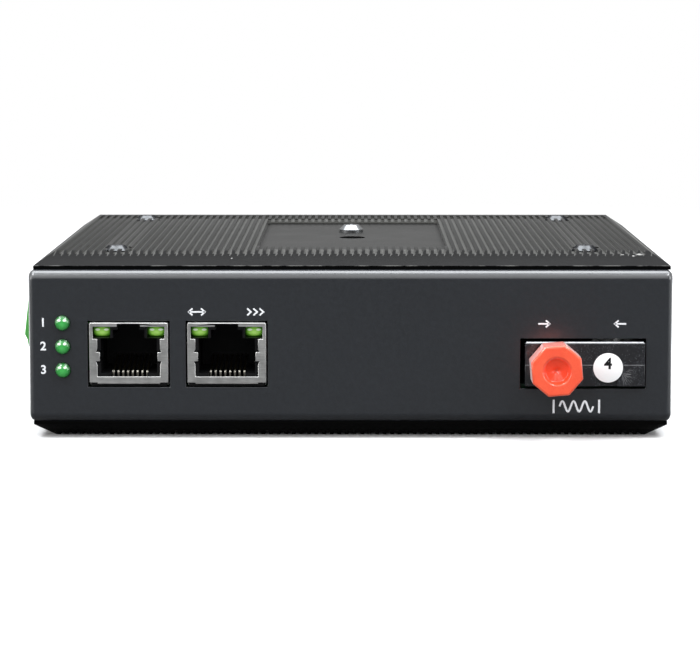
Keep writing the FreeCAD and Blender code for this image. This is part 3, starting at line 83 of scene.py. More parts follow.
SIDES = (-1.0, 1.0)
Colour = tuple[float, float, float]
Pair = tuple[float, float]
Triple = tuple[float, float, float]
Material = bpy.types.Material
Object = bpy.types.Object
WorkMesh = bmesh.types.BMesh


# ---------------------------------------------------------------- node graphs
def operators(operation: str) -> tuple[Callable[[Value, Number], Value], Callable[[Value, float], Value]]:
    """The two methods of one arithmetic operator.

    Args:
        operation: Name of the Math node's operation.

    Returns:
        The method for a Value on the left of the operator, and the one for a number on its left.
    """
    def plain(self: Value, other: Number) -> Value:
        """This value first."""
        return self.graph.math(operation, self, other)

    def mirrored(self: Value, other: float) -> Value:
        """The other number first."""
        return self.graph.math(operation, other, self)

    return plain, mirrored


class Value:
    """An output socket whose arithmetic adds Math nodes to its graph."""

    __add__, __radd__ = operators("ADD")
    __sub__, __rsub__ = operators("SUBTRACT")
    __mul__, __rmul__ = operators("MULTIPLY")
    __truediv__, __rtruediv__ = operators("DIVIDE")
    __pow__, __rpow__ = operators("POWER")

    def __init__(self, graph: Graph, socket: bpy.types.NodeSocket) -> None:
        """Keep the socket and the graph that it belongs to."""
        self.graph = graph
        self.socket = socket

    def __neg__(self) -> Value:
        """Negative."""
        return self.graph.math("MULTIPLY", self, -1.0)

    def __abs__(self) -> Value:
        """Absolute value."""
        return self.graph.math("ABSOLUTE", self)

    def above(self, low: Number, high: Number) -> Value:
        """Smooth 0 to 1 as the value goes from low to high."""
        sockets = {"Value": self, "From Min": low, "From Max": high}
        return self.graph.add("ShaderNodeMapRange", sockets, interpolation_type="SMOOTHSTEP")["Result"]

    def below(self, low: float, high: float) -> Value:
        """Smooth 1 to 0 as the value goes from low to high."""
        return 1.0 - self.above(low, high)

    def band(self, low: float, high: float, soft: float) -> Value:
        """1 between low and high, with soft edges of the given width."""
        return self.above(low - soft, low) * self.below(high, high + soft)

    def at_least(self, floor: float) -> Value:
        """A value from 0 to 1, squeezed to run from a floor to 1."""
        return self * (1.0 - floor) + floor

    def around(self, middle: float, swing: float) -> Value:
        """A value from 0 to 1, moved to swing around a middle."""
        return self * swing + (middle - swing / 2.0)

    def nearest(self, period: float) -> Value:
        """Signed distance to the nearest multiple of a period."""
        return self.graph.math("FLOORED_MODULO", self + period / 2.0, period) - period / 2.0


Number = Value | float
Place = Value | Sequence[float]


class Handle:
    """A node that was added to a graph."""

    def __init__(self, graph: Graph, node: bpy.types.Node) -> None:
        """Keep the node and its graph."""
        self.graph = graph
        self.node = node

    def __getitem__(self, key: str | int) -> Value:
        """Output by name, identifier or number."""
        return Value(self.graph, Graph.find(self.node.outputs, key))


class Graph:
    """A node tree that is filled through one method."""

    def __init__(self, tree: bpy.types.NodeTree) -> None:
        """Keep the tree."""
        self.tree = tree

    @staticmethod
    def find(sockets: Sequence[bpy.types.NodeSocket], key: str | int) -> bpy.types.NodeSocket:
        """Socket by number, identifier or name.

        Args:
            sockets: Inputs or outputs of a node.
            key: Number, identifier or name of the socket.

        Returns:
            The socket, the enabled one where several have the name.
        """
        if isinstance(key, int):
            return sockets[key]
        by_identifier = [socket for socket in sockets if socket.identifier == key]
        by_name = [socket for socket in sockets if socket.name == key and socket.enabled]
        return (by_identifier + by_name)[0]

    def add(self, kind: str, sockets: Mapping[str | int, Any] | None = None, **settings: Any) -> Handle:
        """Add one node.

        Args:
            kind: Node type.
            sockets: Input values or links, by name, identifier or number.
            settings: Properties, set first.

        Returns:
            The new node.
        """
        node = self.tree.nodes.new(kind)
        for name, value in settings.items():
            setattr(node, name, value)
        for key, value in (sockets or {}).items():
            socket = self.find(node.inputs, key)
            if isinstance(value, Value):
                self.tree.links.new(value.socket, socket)
            else:
                socket.default_value = value
        return Handle(self, node)

    def math(self, operation: str, *terms: Number) -> Value:
        """Result of one Math node on one to three values or numbers."""
        return self.add("ShaderNodeMath", dict(enumerate(terms)), operation=operation)["Value"]

    def larger(self, one: Number, other: Number) -> Value:
        """The larger of two values."""
        return self.math("MAXIMUM", one, other)

    def distance(self, across: Value, upward: Value) -> Value:
        """Length of the diagonal of two values."""
        return self.math("SQRT", across * across + upward * upward)

    def vector(self, operation: str, *terms: Place) -> Value:
        """Vector result of one Vector Math node on two or three vectors."""
        return self.add("ShaderNodeVectorMath", dict(enumerate(terms)), operation=operation)[0]

    def joined(self, x: Number, y: Number, z: Number) -> Value:
        """Vector of three values."""
        return self.add("ShaderNodeCombineXYZ", {"X": x, "Y": y, "Z": z})["Vector"]


class Shading(Graph):
    """The graph of one material, measured in millimetres on the object's own coordinates."""

    def __init__(self, name: str) -> None:
        """Make an empty material.

        Args:
            name: Name of the material.
        """
        self.material = bpy.data.materials.new(name)
        self.material.use_nodes = True
        super().__init__(self.material.node_tree)
        self.tree.nodes.clear()
        scaled = {"Vector": self.add("ShaderNodeTexCoord")["Object"], "Scale": 1.0 / MM}
        self.place = self.add("ShaderNodeVectorMath", scaled, operation="SCALE")[0]
        split = self.add("ShaderNodeSeparateXYZ", {"Vector": self.place})
        self.x, self.y, self.z = split["X"], split["Y"], split["Z"]

    def stretched(self, factors: Sequence[float], shift: float = 0.0) -> Value:
        """The place, scaled by a factor on each axis and shifted to another part of a pattern."""
        return self.vector("ADD", self.vector("MULTIPLY", self.place, tuple(factors)), (shift,) * 3)

    def up(self) -> Value:
        """How far the surface faces upwards, from -1 to 1."""
        normal = self.add("ShaderNodeNewGeometry")["Normal"]
        return self.add("ShaderNodeSeparateXYZ", {"Vector": normal})["Z"]

    def noise(self, size: float, detail: float = 2.0, where: Value | None = None) -> Value:
        """Cloudy noise around 0.5.

        Args:
            size: Size of a cloud, in millimetres.
            detail: Octaves of finer noise.
            where: Place to read it at, if not the object's own.

        Returns:
            Noise from 0 to 1.
        """
        sockets = {"Vector": where or self.place, "Scale": 1.0 / size, "Detail": detail}
        return self.add("ShaderNodeTexNoise", sockets)["Fac"]

    def specks(self, spacing: float, radius: float, share: float, shift: float = 0.0) -> Value:
        """Small scattered dots.

        Args:
            spacing: Distance between places where a dot may be, in millimetres.
            radius: Radius of a dot, in millimetres.
            share: Share of those places that has a dot.
            shift: Another set of dots.

        Returns:
            1 on a dot, 0 elsewhere.
        """
        sockets = {"Vector": self.stretched(UNSCALED, shift), "Scale": 1.0 / spacing}
        cells = self.add("ShaderNodeTexVoronoi", sockets)
        picked = self.add("ShaderNodeSeparateColor", {"Color": cells["Color"]})["Red"]
        dot = cells["Distance"].below(0.5 * radius / spacing, radius / spacing)
        return dot * picked.above(1.0 - share, 1.0 - share + 0.02)

    def mottle(self, fine: Value, coarse: Value, share: float = 0.4, contrast: Pair = (0.3, 0.7)) -> Value:
        """Fine and coarse noise as one, from 0 to 1, with the fine one's share and a raised contrast."""
        return (fine * share + coarse * (1.0 - share)).above(*contrast)

    def blend(self, factor: Number, start: Value | Colour, end: Value | Colour) -> Value:
        """Mix two colours.

        Args:
            factor: 0 to 1.
            start: Colour at 0.
            end: Colour at 1.

        Returns:
            The mixed colour.
        """
        colours = [c if isinstance(c, Value) else (*c, 1.0) for c in (start, end)]
        sockets = {"Factor_Float": factor, "A_Color": colours[0], "B_Color": colours[1]}
        return self.add("ShaderNodeMix", sockets, data_type="RGBA")["Result_Color"]

    def bump(self, height: Value, depth: float, strength: float = 0.5) -> Value:
        """Normal of a surface raised by a height from 0 to 1, times a depth in millimetres."""
        sockets = {"Height": height, "Distance": depth * MM, "Strength": strength}
        return self.add("ShaderNodeBump", sockets)["Normal"]

    def surface(self, **inputs: Any) -> Material:
        """Close the material with one surface shader.

        Args:
            inputs: The shader's inputs, with underscores for spaces in their names.

        Returns:
            The finished material.
        """
        named = {name.replace("_", " "): value for name, value in inputs.items()}
        for name, value in named.items():
            if isinstance(value, tuple) and name != "Subsurface Radius":
                named[name] = (*value, 1.0)
        shader = self.add("ShaderNodeBsdfPrincipled", named)["BSDF"]
        self.add("ShaderNodeOutputMaterial", {"Surface": shader})
        return self.material


class Shape(Graph):
    """A Geometry Nodes tree for what repeats or follows a rule, baked to a plain mesh."""

    def __init__(self, name: str) -> None:
        """Make an empty tree with one geometry output.

        Args:
            name: Name of the piece that the tree makes.
        """
        self.name = name
        super().__init__(bpy.data.node_groups.new(name, "GeometryNodeTree"))
        self.settings: dict[str, float | int] = {}
        self.tree.interface.new_socket("Geometry", in_out="OUTPUT", socket_type="NodeSocketGeometry")
        self.entry = self.tree.nodes.new("NodeGroupInput")

    def size(self, name: str, value: float) -> Value:
        """Add a named input in metres or plain units.

        Args:
            name: Name of the input.
            value: Its value in this object.

        Returns:
            The input's value inside the tree.
        """
        kind = "NodeSocketInt" if isinstance(value, int) else "NodeSocketFloat"
        socket = self.tree.interface.new_socket(name, in_out="INPUT", socket_type=kind)
        self.settings[socket.identifier] = value
        return Value(self, self.find(self.entry.outputs, socket.identifier))

    def block(self, low: Sequence[Number], high: Sequence[Number]) -> Value:
        """Box between two corners.

        Args:
            low: Lowest place on each axis.
            high: Highest place on each axis.

        Returns:
            The box.
        """
        sides = [b - a for a, b in zip(low, high)]
        middle = [(a + b) * 0.5 for a, b in zip(low, high)]
        cube = self.add("GeometryNodeMeshCube", {"Size": self.joined(*sides)})["Mesh"]
        return self.moved(cube, self.joined(*middle))

    def rod(self, radius: Number, length: Number, middle: Place, sides: int) -> Value:
        """Upright cylinder round its middle point."""
        sockets = {"Vertices": sides, "Radius": radius, "Depth": length}
        return self.moved(self.add("GeometryNodeMeshCylinder", sockets)["Mesh"], middle)

    def moved(self, geometry: Value, shift: Place, turn: Place = ORIGIN, scale: Place = UNSCALED) -> Value:
        """Geometry scaled, turned by angles in radians, then shifted."""
        sockets = {"Geometry": geometry, "Translation": shift, "Rotation": turn, "Scale": scale}
        return self.add("GeometryNodeTransform", sockets)["Geometry"]

    def together(self, *parts: Value) -> Value:
        """Several geometries as one.

        Args:
            parts: The geometries.

        Returns:
            All of them.
        """
        node = self.tree.nodes.new("GeometryNodeJoinGeometry")
        for part in reversed(parts):
            self.tree.links.new(part.socket, node.inputs[0])
        return Handle(self, node)[0]

    def hull(self, *parts: Value) -> Value:
        """Smallest convex solid round several geometries."""
        return self.add("GeometryNodeConvexHull", {"Geometry": self.together(*parts)})["Convex Hull"]

    def cut(self, body: Value, tools: Value) -> Value:
        """Body without what the tools fill."""
        sockets = {"Mesh 1": body, "Mesh 2": tools, "Self Intersection": True}
        return self.add("GeometryNodeMeshBoolean", sockets, operation="DIFFERENCE", solver="EXACT")["Mesh"]

    def index(self) -> Value:
        """Number of each point."""
        return self.add("GeometryNodeInputIndex")["Index"]

    def row(self, count: Value | int, start: Place, step: Place) -> Value:
        """Points in a straight row."""
        sockets = {"Count": count, "Start Location": start, "Offset": step}
        return self.add("GeometryNodeMeshLine", sockets, mode="OFFSET")["Mesh"]

    def placed_on(self, points: Value, geometry: Value) -> Value:
        """A copy of the geometry on every point."""
        sockets = {"Points": points, "Instance": geometry}
        return self.add("GeometryNodeInstanceOnPoints", sockets)["Instances"]

    def outlined(self, count: int, place: Value, closed: bool) -> Value:
        """Curve through points whose place is a formula of their index.

        Args:
            count: Number of points.
            place: The formula.
            closed: Whether the last point joins the first.

        Returns:
            The curve.
        """
        line = {"Geometry": self.row(count, ORIGIN, (MM, 0.0, 0.0)), "Position": place}
        line = self.add("GeometryNodeSetPosition", line)["Geometry"]
        curve = self.add("GeometryNodeMeshToCurve", {"Mesh": line})["Curve"]
        if closed:
            curve = self.add("GeometryNodeSetSplineCyclic", {"Geometry": curve, "Cyclic": True})["Geometry"]
        return curve

    def swept(self, path: Value, profile: Value) -> Value:
        """Closed solid of a profile that follows a path."""
        sockets = {"Curve": path, "Profile Curve": profile, "Fill Caps": True}
        return self.add("GeometryNodeCurveToMesh", sockets)["Mesh"]

    def straight(self, start: Place, end: Place) -> Value:
        """Straight path between two points."""
        return self.add("GeometryNodeCurvePrimitiveLine", {"Start": start, "End": end})["Curve"]

    def bake(self, geometry: Value, material: Material) -> Object:
        """Close the tree and turn its result into an object with a plain mesh.

        Args:
            geometry: What the tree makes.
            material: Its finish.

        Returns:
            An object at the origin, with no modifier.
        """
        real = self.add("GeometryNodeRealizeInstances", {"Geometry": geometry})[0]
        dressed = self.add("GeometryNodeSetMaterial", {"Geometry": real, "Material": material})
        self.add("NodeGroupOutput", {"Geometry": dressed[0]})
        maker = linked(self.name, bpy.data.meshes.new(self.name + "_start"))
        modifier = maker.modifiers.new("shape", "NODES")
        modifier.node_group = self.tree
        for identifier, value in self.settings.items():
            modifier[identifier] = value
        applied(maker)
        maker.data.name = self.name
        smoothed(maker)
        return maker


# ---------------------------------------------------------------- meshes
def linked(name: str, data: bpy.types.ID) -> Object:
    """Add an object to the scene.

    Args:
        name: Its name.
        data: Its mesh, curve, lamp or camera.

    Returns:
        The new object, at the origin.
    """
    made = bpy.data.objects.new(name, data)
    bpy.context.scene.collection.objects.link(made)
    return made


def final_mesh(maker: Object) -> bpy.types.Mesh:
    """What an object's curve or modifiers make, as a plain mesh."""
    graph = bpy.context.evaluated_depsgraph_get()
    return bpy.data.meshes.new_from_object(maker.evaluated_get(graph), depsgraph=graph)


def applied(piece: Object) -> None:
    """Turn a piece's modifiers into its mesh.

    Args:
        piece: The piece, which keeps no modifier.
    """
    baked = final_mesh(piece)
    piece.modifiers.clear()
    piece.data = baked


def smoothed(piece: Object, sharp: float = SHARP_ANGLE) -> None:
    """Shade a piece smooth, except over edges that turn by more than an angle in radians."""
    piece.data.polygons.foreach_set("use_smooth", [True] * len(piece.data.polygons))
    piece.data.set_sharp_from_angle(angle=sharp)


def mesh_piece(name: str, work: WorkMesh, material: Material | None = None) -> Object:
    """Turn mesh code's result into an object.

    Args:
        name: Name of the object.
        work: The mesh, which is freed.
        material: The finish, if it is known yet.

    Returns:
        The object.
    """
    mesh = bpy.data.meshes.new(name)
    work.to_mesh(mesh)
    work.free()
    if material:
        mesh.materials.append(material)
    return linked(name, mesh)


def loft(work: WorkMesh, rings: Sequence[Sequence[Vector]]) -> None:
    """Add a closed solid through rings of points.

    Args:
        work: The mesh that it is added to.
        rings: Rings with equal numbers of points, in order.
    """
    loops = [[work.verts.new(point) for point in ring] for ring in rings]
    faces = []
    for loop, following in zip(loops, loops[1:]):
        for i, vert in enumerate(loop):
            after = (i + 1) % len(loop)
            faces.append(work.faces.new((vert, loop[after], following[after], following[i])))
    faces += [work.faces.new(loops[0][::-1]), work.faces.new(loops[-1])]
    bmesh.ops.recalc_face_normals(work, faces=faces)


def middle_of(node: str) -> Vector:
    """Middle of a frame piece, in metres."""
    low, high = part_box(node)
    return (low + high) / 2.0


def circle(count: int) -> list[float]:
    """Evenly spread angles of a full turn, in radians."""
    return [2.0 * math.pi * i / count for i in range(count)]


# ---------------------------------------------------------------- finishes
@dataclass(frozen=True)
class Finish(ABC):
    """One finish, named after the record's material slot that it belongs to."""

    slot: str

    @abstractmethod
    def paint(self, shading: Shading) -> Material:
        """Fill the material's graph and return the material."""


@dataclass(frozen=True)
class PowderCoat(Finish):
    """Fine-grained powder coat on folded sheet."""

    slot: str = "panel_coat"
    tone: Colour = (0.0066, 0.0090, 0.0130)
    light_tone: Colour = (0.0160, 0.0198, 0.0258)
    lint_tone: Colour = (0.32, 0.33, 0.35)
    grain: float = 0.34
    patch: float = 0.9
    cloud: float = 14.0
    lint: Triple = (5.0, 0.09, 0.18)
    roughness: float = 0.34
    swing: float = 0.12

    def paint(self, shading: Shading) -> Material:
        """Mottled tone, orange-peel grain and a few specks of lint.

        Args:
            shading: The material's empty graph.

        Returns:
            The finished material.
        """
        grain = shading.noise(self.grain, 3.0)
        patch = shading.noise(self.patch)
        mottle = shading.mottle(grain, patch, 0.55, (0.36, 0.68)) * 0.75 + shading.noise(self.cloud) * 0.25
        colour = shading.blend(mottle, self.tone, self.light_tone)
        return shading.surface(
            Base_Color=shading.blend(shading.specks(*self.lint) * 0.35, colour, self.lint_tone),
            Roughness=grain.around(self.roughness, self.swing),
            Specular_IOR_Level=0.34,
            Coat_Weight=1.0,
            Coat_Roughness=0.28,
            Coat_IOR=2.0,
            Normal=shading.bump(grain * 0.7 + patch * 0.3, 0.03),
        )


@dataclass(frozen=True)
class CoverCoat(Finish):
    """Thin satin coat over a ribbed aluminium casting, dusty and lifted by painted light in its grooves, with painted
    highlight and shade on the groove ends in the slope, and worn on its edges.
    """

    slot: str = "cover_coat"
    tone: Colour = (0.0012, 0.0012, 0.0013)
    film: Colour = (0.0036, 0.0036, 0.0038)
    dust: Colour = (0.0180, 0.0180, 0.0171)
    groove_dust_and_light: Colour = (0.115, 0.115, 0.109)
    rubbed: Colour = (0.40, 0.40, 0.385)
    notch_highlight_tone: Colour = (0.13, 0.13, 0.125)
    grain: float = 0.22
    cloud: float = 9.0
    rub: Triple = (1.7, 0.14, 0.07)
    lint: tuple[float, float, float, float] = (6.5, 0.13, 0.25, 40.0)
    roughness: float = 0.56
    swing: float = 0.14
    upright_polish: float = 0.36
    grooves: Pair = (38.4, 39.25)
    slope_end: float = -46.8
    groove_end: float = 44.85
    lip_front: float = -51.1
    lip_height: float = 16.9
    middle: float = 19.75
    rib_middle: float = 0.0
    rib_pitch: float = 1.62
    half_mouth: float = 0.5
    mouth_taper: float = 0.42
    groove_depth: float = 1.0
    crown: float = 40.05
    facing: float = 1.0
    slope_run: float = 1.51
    wear_patch: float = 3.0
    chip_patch: float = 0.5
    chips: tuple[tuple[float, float, float, float], ...] = (
        (62.3, -47.9, 0.9, 0.28),
        (60.9, -48.3, 0.35, 0.22),
        (58.6, -48.0, 0.4, 0.12),
        (-24.0, -49.0, 0.25, 0.12),
    )

    def paint(self, shading: Shading) -> Material:
        """Sandy grain, dust in patches, painted light on the rear groove ends and the groove floors, and bright
        specks where the coat is rubbed.

        Args:
            shading: The material's empty graph.

        Returns:
            The finished material.
        """
        grain = shading.noise(self.grain, 3.0)
        cloud = shading.noise(self.cloud, 3.0)
        upward = shading.up()
        mottle = shading.mottle(grain, cloud, 0.5)
        sandy = grain.above(0.36, 0.66).at_least(0.25)
        colour = shading.blend(upward.above(0.2, 0.7) * sandy, self.tone, self.film)
        behind = shading.y.above(self.slope_end - 0.1, self.slope_end + 0.3)
        # Painted light: the strip at the rear ends of the grooves takes the dust tone, which lifts the shade there;
        # upward faces take real dust.
        back_wall_painted_light = shading.y.above(self.groove_end - 0.6, self.groove_end - 0.2)
        dust_and_back_wall_light = shading.larger(upward.above(-0.2, 0.4), back_wall_painted_light) * behind
        colour = shading.blend(dust_and_back_wall_light * mottle.at_least(0.6), colour, self.dust)
        # Groove floors lightened, partly dust and partly painted light that lifts their shade.
        deep = shading.z.band(*self.grooves, 0.1) * behind
        colour = shading.blend(deep * mottle.at_least(0.7), colour, self.groove_dust_and_light)
        colour = self.notched(shading, colour)
        specks = shading.specks(*self.rub) * 0.3 + shading.specks(*self.lint) * 0.55
        colour = shading.blend(specks.above(0.0, 1.0), colour, self.rubbed)
        return shading.surface(
            Base_Color=shading.blend(self.worn(shading), colour, self.rubbed),
            Roughness=cloud.around(self.roughness, self.swing) - upward.below(0.1, 0.4) * self.upright_polish,
            Specular_IOR_Level=0.17,
            Normal=shading.bump(grain, 0.03),
        )

    def notched(self, shading: Shading, colour: Value) -> Value:
        """Painted light and shade on the groove ends in the front slope: a painted highlight on each right wall and
        edge, and painted shade on each left wall.

        Args:
            shading: The material's graph.
            colour: The colour without them.

        Returns:
            The colour with them.
        """
        beside = (shading.x - self.rib_middle).nearest(self.rib_pitch)
        sunk = (self.crown - shading.z) * self.facing
        inside = (shading.y - self.slope_end + sunk * self.slope_run).above(0.03, 0.09)
        reach = sunk.band(0.04, self.groove_depth, 0.04) * shading.y.below(self.slope_end + 0.1, self.slope_end + 0.5)
        edge = abs(beside + sunk * self.mouth_taper - self.half_mouth).below(0.04, 0.11)
        # Painted highlight on the right wall and edge of each groove end, painted shade on its left wall.
        pale = shading.larger(inside * beside.above(0.0, 0.1), edge) * reach
        colour = shading.blend(inside * beside.below(-0.1, 0.0) * reach * 0.9, colour, self.tone)
        return shading.blend(pale * 0.85, colour, self.notch_highlight_tone)

    def worn(self, shading: Shading) -> Value:
        """Bare metal along the front edge of the lip, and a few chips on the slope behind it.

        Args:
            shading: The material's graph.

        Returns:
            1 where the metal is bare.
        """
        edge = (shading.z - self.middle).band(self.lip_height - 0.06, self.lip_height + 0.05, 0.05)
        edge = edge * shading.y.below(self.lip_front + 0.12, self.lip_front + 0.25)
        edge = edge * shading.noise(self.wear_patch, 4.0).above(0.45, 0.62) * 0.24
        ragged = shading.noise(self.chip_patch, 3.0) * 0.9
        above_middle = shading.z.above(self.middle, self.middle + 1.0)
        for x, y, half_width, half_depth in self.chips:
            near = ((shading.x - x) / half_width) ** 2.0 + ((shading.y - y) / half_depth) ** 2.0
            edge = shading.larger(edge, (near + ragged).below(0.9, 1.25) * above_middle * 0.75)
        return edge


@dataclass(frozen=True)
class PlainMetal(Finish):
    """A metal with fine scratches and clouded gloss."""

    tone: Colour = (0.6, 0.6, 0.6)
    roughness: float = 0.25
    scratch: float = 0.3
    depth: float = 0.01
    metal: float = 1.0
    grazing_tint: Colour = WHITE
    line_width: float = 0.12
    cloud: float = 2.2
    dark_share: float = 0.72

    def paint(self, shading: Shading) -> Material:
        """Brushed lines across X, and clouds in the gloss.

        Args:
            shading: The material's empty graph.

        Returns:
            The finished material.
        """
        lines = shading.noise(self.line_width, 2.0, shading.stretched((0.06, 1.0, 1.0)))
        cloud = shading.noise(self.cloud)
        darker = tuple(self.dark_share * part for part in self.tone)
        return shading.surface(
            Base_Color=shading.blend(shading.mottle(lines, cloud), darker, self.tone),
            Metallic=self.metal,
            Specular_Tint=self.grazing_tint,
            Roughness=self.roughness - 0.06 + cloud * 0.08 + lines * (self.scratch * 0.12),
            Normal=shading.bump(lines, self.depth),
        )


@dataclass(frozen=True)
class SprungContact(PlainMetal):
    """Plated contact wire, bright at its front bend, with painted shade darkening the wire behind it."""

    slot: str = "contact_gold"
    tone: Colour = (0.95, 0.91, 0.80)
    painted_shade_tone: Colour = (0.10, 0.085, 0.05)
    roughness: float = 0.42
    bend_end: float = -48.9

    def paint(self, shading: Shading) -> Material:
        """Bright bend, and painted shade on the wire behind it.

        Args:
            shading: The material's empty graph.

        Returns:
            The finished material.
        """
        lines = shading.noise(self.line_width, 2.0, shading.stretched((1.0, 0.06, 1.0)))
        # Painted shade: the wire behind the front bend is darkened.
        wire = shading.y.above(self.bend_end - 0.3, self.bend_end + 0.3)
        return shading.surface(
            Base_Color=shading.blend(wire, self.tone, self.painted_shade_tone),
            Metallic=1.0,
            Roughness=self.roughness + lines * 0.1,
            Normal=shading.bump(lines, self.depth, 0.4),
        )


@dataclass(frozen=True)
class Moulded(Finish):
    """A moulded plastic with a fine surface texture."""

    tone: Colour = (0.02, 0.02, 0.02)
    light_tone: Colour = (0.03, 0.03, 0.03)
    roughness: float = 0.45
    grain: float = 0.25
    depth: float = 0.02
    cloud: float = 3.5
    swing: float = 0.1
    specular: float = 0.5
    gloss: float = 0.0
    gloss_index: float = 1.5
    sheen: float = 0.0

    def paint(self, shading: Shading) -> Material:
        """Fine grain and slow clouds under the marks of use and the painted light.

        Args:
            shading: The material's empty graph.

        Returns:
            The finished material.
        """
        grain = shading.noise(self.grain, 3.0)
        cloud = shading.noise(self.cloud)
        colour = shading.blend(shading.mottle(grain, cloud), self.tone, self.light_tone)
        return shading.surface(
            Base_Color=self.marks_and_painted_light(shading, colour),
            Roughness=cloud.around(self.roughness, self.swing),
            Specular_IOR_Level=self.specular,
            Coat_Weight=self.gloss,
            Coat_Roughness=0.12,
            Coat_IOR=self.gloss_index,
            Sheen_Weight=self.sheen,
            Sheen_Roughness=0.35,
            Normal=shading.bump(grain, self.depth),
        )

    def marks_and_painted_light(self, shading: Shading, colour: Value) -> Value:
        """The colour with the marks of use and the painted light that this moulding has, if any."""
        return colour


@dataclass(frozen=True)
class HandledCase(Moulded):
    """Moulded case with fine dust, a painted highlight along its top edge and parting line, and a fan of scratches
    beside its label.
    """

    powder_tone: Colour = (0.062, 0.065, 0.075)
    dust_tone: Colour = (0.20, 0.205, 0.22)
    scratch_tone: Colour = (0.26, 0.265, 0.275)
    edge_highlight_tone: Colour = (0.62, 0.64, 0.68)
    powder_sizes: Pair = (0.3, 2.4)
    dust: Triple = (0.36, 0.09, 0.55)
    dust_patch: float = 1.6
    rim_band: Pair = (0.24, 0.14)
    rim_patch: float = 1.2
    scratch_width: float = 0.10
    scratch_middle: Pair = (58.3, 14.2)
    scratch_reach: float = 3.3
    scratch_spread: Pair = (-1.35, 0.30)
    face: float = -54.0
    top: float = 100.0
    parting: float = 100.0

    def marks_and_painted_light(self, shading: Shading, colour: Value) -> Value:
        """Dust everywhere, fanned scratches at one place of the face, and a painted highlight along the top rim and
        the parting line.

        Args:
            shading: The material's graph.
            colour: The colour without them.

        Returns:
            The colour with them.
        """
        grain, patch = self.powder_sizes
        powder = shading.noise(grain, 3.0).above(0.50, 0.70) * shading.noise(patch).above(0.34, 0.60)
        colour = shading.blend(powder * 0.75, colour, self.powder_tone)
        fine = shading.specks(*self.dust) * shading.noise(self.dust_patch).above(0.36, 0.56)
        colour = shading.blend(fine * 0.7, colour, self.dust_tone)
        across, upward = shading.x - self.scratch_middle[0], shading.z - self.scratch_middle[1]
        distance = shading.distance(across, upward)
        angle = shading.math("ARCTAN2", upward, across)
        fanned = shading.joined(angle, distance * 0.05, 0.0)
        rays = shading.noise(self.scratch_width, 1.0, fanned).above(0.52, 0.62)
        reach = distance.below(self.scratch_reach * 0.25, self.scratch_reach)
        fan = rays * reach * angle.band(*self.scratch_spread, 0.35) * shading.y.below(self.face, self.face + 0.1)
        colour = shading.blend(fan * 0.9, colour, self.scratch_tone)
        # Painted highlight: a pale band along the top edge of the face and a thin pale line at the parting line,
        # broken up by noise.
        uneven = shading.noise(self.rim_patch, 3.0).above(0.25, 0.60).at_least(0.6)
        rim = shading.z.above(*(self.top - depth for depth in self.rim_band))
        rim = rim * shading.y.below(self.face + 0.3, self.face + 0.6)
        line = shading.z.band(self.parting - 0.04, self.parting + 0.07, 0.04)
        line = line * shading.y.below(self.face, self.face + 0.4)
        return shading.blend((rim * 0.9 + line * 0.30) * uneven, colour, self.edge_highlight_tone)


@dataclass(frozen=True)
class DishedCap(Moulded):
    """Translucent moulding whose dish is painted a deeper, brighter red that stands in for light bounced inside it.
    """

    dish_interreflection_tone: Colour = (1.0, 0.062, 0.014)
    axis: Pair = (0.0, 0.0)
    dish_radius: float = 2.85
    face: float = -62.7

    def marks_and_painted_light(self, shading: Shading, colour: Value) -> Value:
        """Painted light bounced inside the dish, as a deeper red.

        Args:
            shading: The material's graph.
            colour: The rim's colour.

        Returns:
            The colour with the dish.
        """
        # Painted interreflection: inside the dish the red is deeper and brighter than on the rim.
        radius = shading.distance(shading.x - self.axis[0], shading.z - self.axis[1])
        inside = radius.below(self.dish_radius, self.dish_radius + 0.2)
        sunk = shading.y.above(self.face + 0.1, self.face + 0.5) * shading.y.below(self.face + 3.0, self.face + 3.2)
        return shading.blend(inside * sunk, colour, self.dish_interreflection_tone)


